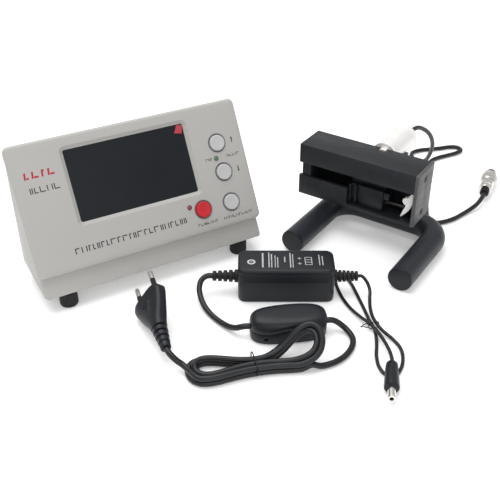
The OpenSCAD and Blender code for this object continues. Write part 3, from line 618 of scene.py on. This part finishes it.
def add_glyph_row(bm, rng, u0, u1, s, height, stroke, tilt=0.0):
    """A row of plain strokes of the print's size and weight that spells nothing."""
    u = u0
    while u < u1 - stroke:
        width = rng.choice((1.0, 1.5, 1.9, 2.2)) * height * 0.42
        add_bar(bm, u + stroke / 2, s, stroke, height, tilt)
        kind = rng.randrange(3)
        if kind == 2:
            add_bar(bm, u + width, s, stroke, height, tilt)
        else:
            edge = (height - stroke) / 2 * (1 if kind == 0 else -1)
            add_bar(bm, u + width / 2 + stroke * 0.6, s + edge, max(0.3, width - stroke), stroke)
        u += width + stroke * 1.9


def build_print():
    rng = random.Random(7)
    dark = bmesh.new()
    # Title, second row left of the screen, then the small labels: left, right, height, size, stroke
    for row in ((-62.0, 28.0, 13.6, 4.3, 0.78), (-82.0, -61, 64.2, 4.3, 0.72),
                (57.0, 62.2, 55.0, 2.0, 0.42), (75.5, 87.0, 55.0, 2.0, 0.42),
                (37.5, 55.5, 6.8, 2.0, 0.42), (60.5, 85.0, 6.8, 2.0, 0.42)):
        add_glyph_row(dark, rng, *row)
    for key, up in (("key_up", 1), ("key_down", -1)):
        s = KEYS[key][1]
        add_bar(dark, 83, s - up * 0.6, 0.8, 3.2)
        head = [(82.0, s + up * 0.9), (84.0, s + up * 0.9), (83.0, s + up * 2.6)]
        add_loops(dark, [[(x, y, z) for x, y in head] for z in PRINT_Z])
    piece("print_dark", dark, FACE, INK, slot="black_plastic")
    red = bmesh.new()
    add_glyph_row(red, rng, -83.5, -61, 75.4, 5.0, 1.35, 0.12)
    piece("print_red", red, FACE, INK_RED, slot="key_red")


def build_mic_socket():
    profile = [(-11, 6.0), (0, 6.0), (0, 7.3), (0.3, 7.5), (1.7, 7.5), (2.0, 7.2), (2.0, 5.5)]
    for k in range(7):
        profile += [(2.3 + 0.75 * k, 5.5), (2.65 + 0.75 * k, 5.8)]
    profile += [(7.7, 5.5), (8.0, 5.2)]
    x, _, z = MIC_SOCKET
    bm = bmesh.new()
    add_ring(bm, profile, [(-11, 0.3), (-3, 0.3), (-3, 4.5), (8.0, 4.5)], 48, "Y", (x, REAR, z))
    piece("mic_socket_body", bm, UNIT, NICKEL, hides=["mic_socket"], slot="nickel")


build_bezel()
build_case()
build_feet()
build_screen()
build_keys()
build_print()
build_mic_socket()


# ---------------------------------------------------------------- microphone stand

POST_X = -6.0
ROLL_Z = 70.5
BAR_R = 10
HEAD_L, HEAD_H = 106, 46
HEAD_FRONT, HEAD_REAR = -41.6, -11.2
PLATE_X = 103
ROD_Y, ROD_Z = -27, (8, 38)
JAW_END = 76.2
SPRING_AT = (-18.8, 26)  # the y and z of its axis in the head


def arc(cx, cy, r, a0, a1, steps):
    return [(cx + r * math.cos(math.radians(a0 + (a1 - a0) * k / steps)),
             cy + r * math.sin(math.radians(a0 + (a1 - a0) * k / steps))) for k in range(steps + 1)]


def build_bar():
    half, bend, reach = 48.3, 22, 82.8
    right = [(half, -reach), (half, -60), (half, -40)] + arc(half - bend, -bend, bend, 0, 90, 14) + [(12, 0)]
    left = [(-12, 0)] + arc(-half + bend, -bend, bend, 90, 180, 14)
    left += [(-half, -40), (-half, -60), (-half, -reach)]
    bm = bmesh.new()
    add_tube(bm, [(x, y, BAR_R) for x, y in right + [(0, 0)] + left], BAR_R, 48)
    bmesh.ops.recalc_face_normals(bm, faces=bm.faces)
    bm = combine(bm, cuts=[rod("Z", -2, 11, 4.8, (POST_X, 0, 0))])
    piece("bar", bm, STAND, POWDER, hides=["stand_bar"], slot="black_metal", smooth=30)
    cap = [(-1.8, 8.9), (-1.72, 9.35), (-1.4, 9.75), (-1.0, 9.9), (-0.12, 9.9), (-0.1, 9.6), (0.4, 9.6)]
    caps = bmesh.new()
    for x in (-half, half):
        add_lathe(caps, cap, 48, "Y", (x, -reach, BAR_R))
    piece("bar_end_caps", caps, STAND, PLASTIC, hides=["bar_caps"], slot="black_plastic", smooth=30)


def build_post():
    block = box((POST_X - 9, -8, 12), (POST_X + 9, 8, 63.5))
    bevel_sharp(block, 1.2, 3)
    cradle = rod("Y", -9, 9, 14, (POST_X, 0, ROLL_Z), 72)
    cuts = [rod("X", POST_X - 20, POST_X + 20, 10.0, (0, 0, BAR_R)),
            rod("Y", -20, 20, 11.15, (POST_X, 0, ROLL_Z), 72),
            box((POST_X - 20, -20, ROLL_Z - 2), (POST_X + 20, 20, ROLL_Z + 30))]
    bm = combine(block, joins=[cradle], cuts=cuts)
    piece("post", bm, STAND, POWDER, hides=["cradle_post"], slot="black_metal", bevel=0.35, smooth=30)


def head_piece(name, bm, mat, hides, slot, **finish):
    return piece(name, bm, HEAD, mat, "head", hides, slot, **finish)


def build_head():
    fy, ry = HEAD_FRONT, HEAD_REAR
    body = box((0, fy, 0), (PLATE_X, ry, HEAD_H))
    cuts = [box((-5, fy + 3, 3), (110, ry - 4, HEAD_H - 3)), box((-5, fy - 2, 17.5), (110, fy + 4, 29.5)),
            box((45.5, fy - 2, 3), (110, fy + 4, 20)), rod("Y", ry - 6, ry + 2, 7, (62, 0, 39.5))]
    head_piece("head_shell", combine(body, cuts=cuts), ANODISED, ["head_channel"], "black_alu", bevel=0.55,
               smooth=30)
    left = combine(box((2.3, fy + 3, 3), (10.3, ry - 4, HEAD_H - 3)),
                   joins=[box((2.3, fy + 1.2, 17.5), (10.3, fy + 6, 29.5))])
    head_piece("head_left", left, ANODISED, ["head_left_block"], "black_alu", bevel=0.4)


def build_head_end():
    """The right end plate with its two screws, the guide rods, and the white contact."""
    places = [(0, ROD_Y, z) for z in ROD_Z]
    hole = [(102, 1.3), (104.4, 1.3), (104.4, 2.8), (107, 2.8)]
    plate = combine(box((PLATE_X, HEAD_FRONT, 0), (HEAD_L, HEAD_REAR, HEAD_H)),
                    cuts=[lathe(hole, 32, "X", at) for at in places])
    head_piece("head_end_plate", plate, PLATE_GREY, ["head_right_plate"], "grey_alu", bevel=0.45, smooth=30)
    screw = [(99, 1.25), (104.4, 1.25), (104.4, 2.6), (105.3, 2.6), (105.6, 2.3)]
    screws = [lathe(screw, 32, "X", at) for at in places]
    sockets = [rod("X", 104.7, HEAD_L, 1.1, at, 6) for at in places]
    head_piece("head_end_screws", combine(screws[0], joins=screws[1:], cuts=sockets), SCREW_DARK,
               ["head_screws"], "black_screw")
    rods = bmesh.new()
    for at in places:
        add_lathe(rods, [(2.3, 2.2), (2.6, 2.5), (76.2, 2.5), (76.2, 3.7), (76.5, 4.0), (77.5, 4.0),
                         (77.8, 3.7), (77.8, 2.5), (PLATE_X, 2.5)], 40, "X", at)
    # The guide rods carry the steel darkened with painted shade.
    head_piece("rods", rods, ROD_STEEL_PAINTED_SHADE, ["guide_rods"], "steel")
    contact = [(92.4, 18.6), (93.2, 20.6), (95.2, 21.8), (97.6, 22.8), (98.8, 25.4), (100.6, 27.4),
               (102.6, 28.2), (103, 26.6), (102.4, 22.4), (101.4, 18), (100.2, 14), (98.4, 10.4), (96, 7.2),
               (92.8, 3.6), (92.0, 4.4), (93.2, 7.6), (94.2, 10.6), (95.4, 13.6), (95.6, 15.2), (93.6, 16.2)]
    bm = solid(lambda bm: add_loops(bm, [[(x, y, z) for x, z in contact] for y in (-36.6, -31.6)]))
    head_piece("contact", bm, WHITE, ["sensor_contact"], "white", bevel=0.45, segments=3, smooth=50)


def build_jaw():
    fy = HEAD_FRONT
    block = box((55.8, fy + 3.3, 3.2), (JAW_END, fy + 11.3, 21.7))
    joins = [box((45.8, fy + 6, 3.2), (JAW_END, fy + 18, 20.7)), box((45.8, -32, 3.2), (JAW_END, -20, 42.8))]
    joins += [box((45.8 + x, fy + 3.3, 3.2), (47.6 + x, fy + 7, 20.7)) for x in (0, 5, 10)]
    cuts = [rod("X", 40, 80, 2.6, (0, ROD_Y, z)) for z in ROD_Z]
    cuts.append(rod("X", 70, 78, 1.55, (0, -34.6, 18)))
    piece("jaw", combine(block, joins=joins, cuts=cuts), HEAD, JAW_BLACK, "jaw", ["sliding_jaw"], "black_alu",
          bevel=0.3, smooth=30)
    tip = box((JAW_END, -37.6, 15), (JAW_END + 5, -31.6, 21))
    bevel_sharp(tip, 0.9, 3)
    pin = combine(tip, joins=[rod("X", 70.3, 77, 1.5, (0, -34.6, 18), 32)])
    piece("jaw_tip", pin, HEAD, PLASTIC, "jaw", ["jaw_pin"], "black_plastic", smooth=35)


def build_spring():
    """A coil from the jaw to the end plate."""
    turns, steps, coil_r, length = 11, 20, 2.5, 25.9
    y, z = SPRING_AT
    coil = []
    for i in range(turns * steps + 1):
        a = 2 * math.pi * i / steps
        x = JAW_END + 0.5 + length * i / (turns * steps)
        coil.append((x, y + coil_r * math.cos(a), z + coil_r * math.sin(a)))
    bm = bmesh.new()
    add_tube(bm, coil, 0.4, 8)
    spring = piece("spring", bm, HEAD, STEEL, None, ["jaw_spring"], "steel", smooth=60)
    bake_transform(spring)


def build_sensor():
    at = (POST_X, 0, ROLL_Z)
    shell = [(-15.2, 7.0), (-11.2, 7.0), (-11.2, 10.7), (-10.9, 11.1), (27.2, 11.1), (27.4, 10.8),
             (27.9, 10.8),
             (28.1, 11.1), (30.9, 11.1), (31.5, 10.8), (31.8, 10.2)]
    bm = bmesh.new()
    add_ring(bm, shell, [(-15.2, 1.5), (-8.2, 1.5), (-8.2, 9.3), (31.8, 9.3)], 72, "Y", at)
    piece("sensor_shell", bm, STAND, SATIN, "head", ["sensor_housing"], "silver_alu", smooth=30)
    cap = [(26.8, 9.3), (31.8, 9.3), (31.8, 7.5), (32.6, 7.5), (33.2, 7.0), (33.3, 2.6)]
    piece("sensor_cap", lathe(cap, 56, "Y", at), STAND, PLATE_GREY, "head", ["housing_cap"], "silver_alu",
          smooth=30)
    gland = [(33.2, 3.2), (34.6, 3.2), (34.8, 2.7), (35.4, 2.7), (35.6, 3.1), (37.8, 3.0), (38.3, 2.6)]
    piece("sensor_gland", lathe(gland, 40, "Y", at), STAND, PLASTIC_SOFT, "head", slot="cord", smooth=30)


build_bar()
build_post()
build_head()
build_head_end()
build_jaw()
build_spring()
build_sensor()


# ---------------------------------------------------------------- connector

def build_coupling_nut():
    """The nut: a knurled ring, with its thread's wider bore at the front."""
    n = 120
    bm = bmesh.new()

    def ring(u, r, tooth=0.0):
        row = []
        for k in range(n):
            reach = r + tooth * ((k // 2) % 2)
            angle = 2 * math.pi * k / n
            row.append(bm.verts.new((u, reach * math.cos(angle), reach * math.sin(angle))))
        return row
    rows = [ring(21.3, 6.5), ring(21.8, 7.0), ring(23.2, 7.05), ring(23.5, 6.8, 0.42), ring(31.0, 6.8, 0.42),
            ring(31.3, 7.1), ring(34.7, 7.1), ring(35.2, 6.7)]
    rows += [ring(35.2, 6.1), ring(29.2, 6.1), ring(29.2, 5.0), ring(21.3, 5.0)]
    skin(bm, rows + rows[:1])
    return piece("connector_nut", bm, CONNECTOR, NICKEL, "nut", ["coupling_nut"], "nickel", smooth=30)


def build_connector():
    boot = [(0, 3.6), (0.4, 4.0)]
    for k in range(3):
        boot += [(0.9 + 1.3 * k, 4.0), (1.1 + 1.3 * k, 3.5), (1.6 + 1.3 * k, 3.5), (1.8 + 1.3 * k, 4.0)]
    boot += [(5, 4.0), (5.1, 3.0)]
    boot = piece("connector_boot", lathe(boot), CONNECTOR, PLASTIC_SOFT, slot="cord", smooth=30)
    body = [(4.9, 4.4), (5, 5.7), (5.5, 6.2), (9.5, 6.2), (9.8, 5.8), (10.6, 5.8), (10.9, 6.2), (20.4, 6.2),
            (21, 5.8), (21, 4.95), (36, 4.95)]
    shell = piece("connector_shell", lathe(body, 56), CONNECTOR, NICKEL, hides=["connector_body"],
                  slot="nickel",
                  smooth=30)
    nut = build_coupling_nut()
    nose = lathe([(35.8, 4.1), (42.4, 4.3), (43.0, 4.1), (43.2, 3.7)])
    holes = [rod("X", 39, 44, 0.6, (0, y, z), 16) for y, z in ((2.6, 0), (0, 2.6), (-2.6, 0), (0, -2.6))]
    nose = piece("connector_nose", combine(nose, cuts=holes), CONNECTOR, PLASTIC_SOFT,
                 hides=["connector_insert"],
                 slot="insert", smooth=30)
    return [boot, shell, nut, nose]


# ---------------------------------------------------------------- power adapter

BRICK_W, BRICK_D, BRICK_SPLIT, BRICK_TOP = 73.2, 29.0, 23.8, 29.4
GLAND_Z = 14.6


def build_adapter():
    def outline(inset):
        return rounded(BRICK_W - 2 * inset, BRICK_D - 2 * inset, 6.0 - inset, 8)
    shell = slab(outline, rounded_levels(0, BRICK_SPLIT, 1.4, 0.25, 4))
    half_w, half_d = BRICK_W / 2, BRICK_D / 2
    grooves = []
    for k in range(3):
        z = 21.2 - 1.25 * k
        for y0, y1 in ((-half_d - 1, -half_d + 0.3), (half_d - 0.3, half_d + 1)):
            grooves.append(box((-half_w + 3.2, y0, z), (half_w - 3.2, y1, z + 0.4)))
    piece("adapter_body", combine(shell, cuts=grooves), BRICK, PLASTIC, hides=["adapter_shell"],
          slot="black_plastic", smooth=30)
    lid = slab(outline, rounded_levels(BRICK_SPLIT + 0.2, BRICK_TOP, 0.25, 2.2, 6))
    piece("adapter_top", lid, BRICK, PLASTIC, hides=["adapter_lid"], slot="black_plastic", smooth=35)


def build_rating_label():
    """Columns of plain dashes, a ring, two signs and a grid, printed across the adapter's top."""
    rng = random.Random(3)
    ink = bmesh.new()
    print_z = (BRICK_TOP - 0.02, BRICK_TOP + 0.06)

    def dash(x, y, wx, wy):
        ring = [(x, y), (x + wx, y), (x + wx, y + wy), (x, y + wy)]
        add_loops(ink, [[(px, py, z) for px, py in ring] for z in print_z])
    for x, start, stop, size in ((-18.5, -9.5, 8.5, 1.3), (-13.6, -9.5, 9.5, 0.9), (-11.6, -9.5, 8.0, 0.9),
                                 (-8.8, -9.5, 5.5, 0.7), (-6.9, -9.5, 3.5, 0.7), (-1.6, -2.5, 3.5, 0.9),
                                 (2.6, -9.5, 9.5, 0.9), (4.6, -9.5, 7.0, 0.7), (24.6, -6.5, 7.0, 0.8),
                                 (27.0, -6.5, 5.0, 0.8)):
        y = start
        while y < stop:
            step = rng.choice((0.5, 0.8, 1.2))
            dash(x, y, size, step)
            y += step + 0.35
    for y in (-3.4, 3.4):
        dash(8.6, y - 1.4, 2.8, 0.5)
        dash(9.75, y - 2.6, 0.5, 2.9)
    for k in range(4):
        dash(14.2, -6.2 + 3.2 * k, 4.8, 0.45)
    for x in (14.0, 19.0):
        dash(x, -6.2, 0.45, 10.0)
    add_ring(ink, [(z, 3.1) for z in print_z], [(z, 1.9) for z in print_z], 40, "Z", (-26.5, -2.5, 0))
    dash(-27.6, -2.8, 2.2, 0.6)
    piece("adapter_print", ink, BRICK, INK_WHITE, slot="white")


def gland_profile(length, first, last, ribs):
    """Strain relief: a collar, then ribs that taper towards the cord."""
    out = [(0, first), (2.4, first), (2.8, first - 0.5)]
    span = (length - 3.0) / ribs
    for k in range(ribs):
        r = first - 0.3 + (last - first + 0.3) * k / (ribs - 1)
        u = 3.0 + span * k
        out += [(u, r - 1.5), (u + span * 0.24, r - 1.5), (u + span * 0.28, r - 0.2), (u + span * 0.36, r),
                (u + span * 0.88, r), (u + span * 0.96, r - 0.2)]
    return out + [(length, last - 1.2)]


def build_glands():
    mains = moved(lathe(gland_profile(19.7, 5.0, 3.9, 4)), shift(-BRICK_W / 2, 0, GLAND_Z) @ turn(180, "Z"))
    piece("gland_mains", mains, BRICK, PLASTIC_SOFT, hides=["mains_gland"], slot="cord", smooth=35)
    dc = moved(lathe(gland_profile(18.7, 5.0, 3.9, 5)), shift(BRICK_W / 2, 0, GLAND_Z))
    piece("gland_dc", dc, BRICK, PLASTIC_SOFT, hides=["dc_gland"], slot="cord", smooth=35)


def build_inline_box():
    top, gap, screw_at = 19.0, 0.12, (-17.5, 0, 5.2)

    def outline(inset):
        return oval(27.8 - inset, 13.0 - inset, 3.0, 96)

    def seam(x):
        return 8.8 + 3.6 * ease(x, -20, 2)

    base_loops = []
    for f, inset in ((0.0, 1.8), (0.05, 0.7), (0.14, 0.1), (0.5, 0.0), (0.93, 0.0), (1.0, 0.3)):
        base_loops.append([(x, y, f * (seam(x) - gap)) for x, y in outline(inset)])
    base = combine(solid(lambda bm: add_loops(bm, base_loops)), cuts=[rod("Y", -14.5, -9, 1.7, screw_at, 32)])
    low = piece("inline_base", base, BOX, PLASTIC, hides=["inline_box_base"], slot="black_plastic", smooth=40)
    lid_loops = []
    for f, inset in ((0.0, 0.35), (0.05, 0.0), (0.40, 0.1), (0.62, 0.7), (0.80, 1.9), (0.92, 3.6),
                     (0.985, 6.2), (1.0, 9.5)):
        lid_loops.append([(x, y, seam(x) + gap + f * (top - seam(x) - gap)) for x, y in outline(inset)])
    lid = solid(lambda bm: add_loops(bm, lid_loops))
    high = piece("inline_lid", lid, BOX, PLASTIC, hides=["inline_box_lid"], slot="black_plastic", smooth=50)
    screw = rod("Y", -10.9, -10.2, 1.6, screw_at, 24)
    screw = piece("inline_screw", screw, BOX, SCREW_DARK, slot="black_screw", bevel=0.15)
    return [low, high, screw]


def build_plug():
    n = 64
    # Flat grip, from the pin face back: distance, half width, half thickness, squareness
    grip = [(0.0, 11.2, 4.6, 4.0), (-0.4, 12.0, 5.3, 4.0), (-1.2, 12.8, 5.9, 4.0), (-1.6, 14.0, 5.9, 4.0),
            (-4, 15.5, 5.8, 4.0), (-7, 15.4, 5.6, 3.8), (-10, 14.8, 5.5, 3.6), (-15, 13.2, 5.5, 3.2),
            (-20, 11.4, 5.6, 3.0), (-25, 9.4, 5.7, 2.8), (-29, 7.6, 5.7, 2.6), (-32, 6.6, 5.6, 2.4),
            (-35.2, 6.0, 5.5, 2.2)]
    loops = [[(x, y, z) for x, z in oval(w, t, power, n)] for y, w, t, power in grip]
    # Ribbed strain relief: distance, radius
    relief = [(-35.6, 4.4), (-36.4, 4.4), (-36.8, 5.6), (-40.2, 5.5), (-40.6, 4.0), (-41.6, 4.0),
              (-42.0, 5.1),
              (-45.2, 4.9), (-45.6, 3.7), (-46.6, 3.7), (-47.0, 4.5), (-50.2, 4.3), (-50.6, 3.4),
              (-51.6, 3.4),
              (-52.0, 4.0), (-55.4, 3.8), (-56.0, 3.3)]
    loops += [[(x, y, z) for x, z in oval(r, r, 2, n)] for y, r in relief]
    thumb_hollow = [(-26, 1.2), (-22, 5.4), (-12, 7.4), (-7, 5.8), (-5, 1.2)]
    hollows = [lathe(thumb_hollow, 40, "Y", (0, 0, side * 11.6)) for side in (-1, 1)]
    body = combine(solid(lambda bm: add_loops(bm, loops)), cuts=hollows)
    body = piece("mains_plug", body, PLUG, PLASTIC, hides=["plug_body"], slot="black_plastic", smooth=40)
    pins, sleeves = bmesh.new(), bmesh.new()
    for x in (-9.3, 9.3):
        add_lathe(pins, [(9.5, 1.95), (17.6, 2.0), (18.5, 1.75), (19.0, 1.0), (19.05, 0.1)], 32, "Y",
                  (x, 0, 0))
        add_lathe(sleeves, [(-1.0, 1.95), (9.2, 1.95), (9.6, 1.8)], 32, "Y", (x, 0, 0))
    tips = piece("plug_pin_tips", pins, PLUG, NICKEL, hides=["plug_pins"], slot="nickel")
    bases = piece("plug_pin_sleeves", sleeves, PLUG, PLASTIC_SOFT, slot="black_plastic")
    return [body, tips, bases]


def build_dc_plug():
    body = [(0, 2.6), (0.4, 3.6), (1.0, 4.0), (3.4, 4.25), (3.7, 3.9), (4.3, 3.9), (4.6, 4.35), (7.0, 4.5),
            (7.3, 4.15), (7.9, 4.15), (8.2, 4.6), (21.8, 5.2), (23.6, 5.15), (24.2, 4.7), (24.4, 3.6)]
    grip = piece("dc_plug_grip", lathe(body), DC_PLUG, PLASTIC, hides=["dc_plug_body"],
                 slot="black_plastic", smooth=30)
    bm = bmesh.new()
    add_ring(bm, [(24.2, 2.75), (32.6, 2.75), (32.6, 2.5), (33.0, 2.5), (33.0, 2.75), (33.7, 2.72),
                  (33.9, 2.5)],
             [(24.2, 1.5), (33.9, 1.5)], 40)
    barrel = piece("dc_plug_tip", bm, DC_PLUG, NICKEL, hides=["dc_plug_barrel"], slot="nickel", smooth=30)
    bm = bmesh.new()
    add_ring(bm, [(25, 1.6), (33.5, 1.6)], [(25, 1.05), (33.5, 1.05)], 32)
    core = piece("dc_plug_core", bm, DC_PLUG, PLASTIC_SOFT, slot="black_plastic")
    return [grip, barrel, core]


def tie_piece(name, matrix, half_w, low, high, wire, node, tails):
    """A plastic-covered wire tie: a flat oval loop round the bundle and its twisted tails."""
    loop = []
    for k in range(41):
        a = 2 * math.pi * k / 40
        c, s = math.cos(a), math.sin(a)
        loop.append((0.6 * math.sin(a / 2), half_w * math.copysign(abs(c) ** 0.7, c),
                     (low + high) / 2 + (high - low) / 2 * math.copysign(abs(s) ** 0.7, s)))
    bm = bmesh.new()
    add_tube(bm, loop, wire, 8)
    for tail in tails:
        add_tube(bm, [tuple(p) for p in smooth_route(tail, 0.6)], wire, 8)
    return piece(name, bm, matrix, PLASTIC_SOFT, hides=[node], slot="cord", smooth=60)


build_adapter()
build_rating_label()
build_glands()
inline_pieces = build_inline_box()
plug_pieces = build_plug()
dc_pieces = build_dc_plug()
connector_pieces = build_connector()
hank_tie = tie_piece("tie_hank", HANK @ shift(-2, 0.6, 0), 9.8, 0.5, 9.6, 0.45, "hank_tie",
                     [[(0, -9.6, 3), (1.2, -10.2, 4.6), (0.4, -10.3, 6.2), (1.0, -9.9, 7.6)]])
dc_tie = tie_piece("tie_dc", place(35, -107.8, 0, 75), 4.0, 0.4, 6.1, 0.35, "dc_tie",
                   [[(0, 3.9, 4), (1.5, 5.2, 4.6), (2.2, 7.4, 3.6), (1.2, 9.6, 2.4)],
                    [(0, 3.9, 3), (-0.6, 6.0, 3.0), (1.4, 7.6, 2.8), (3.4, 9.0, 1.4)]])

hank_route = [tuple(WORLD.inverted() @ (HANK @ Vector(p))) for p in hank_turns()]
tied_route = MAINS_B[:-1] + hank_route + MAINS_C[1:]
cord_piece("mains_lead_first", cord_route(MAINS_A, MAINS_D), MAINS_D, ["mains_lead_short"])
cord_piece("mains_lead_tied", cord_route(tied_route, MAINS_D), MAINS_D,
           ["mains_lead_long", "mains_hank", "mains_lead_end"])
cord_piece("low_voltage_lead", cord_route(DC, DC_D), DC_D, ["dc_lead"])
cord_piece("microphone_lead", cord_route(SENSOR, SENSOR_D), SENSOR_D, ["sensor_cable"])


# ---------------------------------------------------------------- CAD nodes that stay

KEPT = {"base_plate": CASE_DARK, "case_screws": STEEL, "lcd_panel": GLASS, "lcd_ribbon": RIBBON,
        "main_board": PCB,
        "key_board": PCB, "key_switches": PLASTIC, "sounder": PLASTIC, "dc_socket": PLASTIC,
        "post_screw": SCREW_DARK,
        "sensing_disc": BRASS, "adapter_board": PCB}
for node, mat in KEPT.items():
    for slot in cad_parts[node].material_slots:
        slot.material = mat


# ---------------------------------------------------------------- floor and light

def build_stage():
    bm = bmesh.new()
    bmesh.ops.create_grid(bm, x_segments=1, y_segments=1, size=4.0)
    mesh = bpy.data.meshes.new("floor")
    bm.to_mesh(mesh)
    bm.free()
    floor = bpy.data.objects.new("floor", mesh)
    floor.location.z = -0.0002
    bpy.context.scene.collection.objects.link(floor)
    paper = material("floor_white", (0.90, 0.90, 0.90), 0.8, grain=40, bump=0.0, tone=0.005, specular=0.2)
    shader = paper.node_tree.nodes["Principled BSDF"]
    shader.inputs["Emission Color"].default_value = (1, 1, 1, 1)
    shader.inputs["Emission Strength"].default_value = 0.2
    mesh.materials.append(paper)
    world = bpy.data.worlds.new("studio")
    bpy.context.scene.world = world
    world.use_nodes = True
    world.node_tree.nodes["Background"].inputs["Color"].default_value = (1.0, 1.0, 1.0, 1)
    world.node_tree.nodes["Background"].inputs["Strength"].default_value = 0.62


def add_area(name, location, aim, size, power):
    data = bpy.data.lights.new(name, "AREA")
    data.shape = "DISK"
    data.size = size
    data.energy = power
    light = bpy.data.objects.new(name, data)
    light.location = location
    light.rotation_euler = (Vector(aim) - Vector(location)).to_track_quat("-Z", "Y").to_euler()
    bpy.context.scene.collection.objects.link(light)


build_stage()
add_area("key_light", (-0.1, 0.35, 1.3), (0, 0, 0), 1.5, 17)
add_area("front_light", (-0.4, -1.3, 0.9), (0, 0, 0.05), 1.3, 6)
bpy.context.scene.view_settings.view_transform = "Standard"
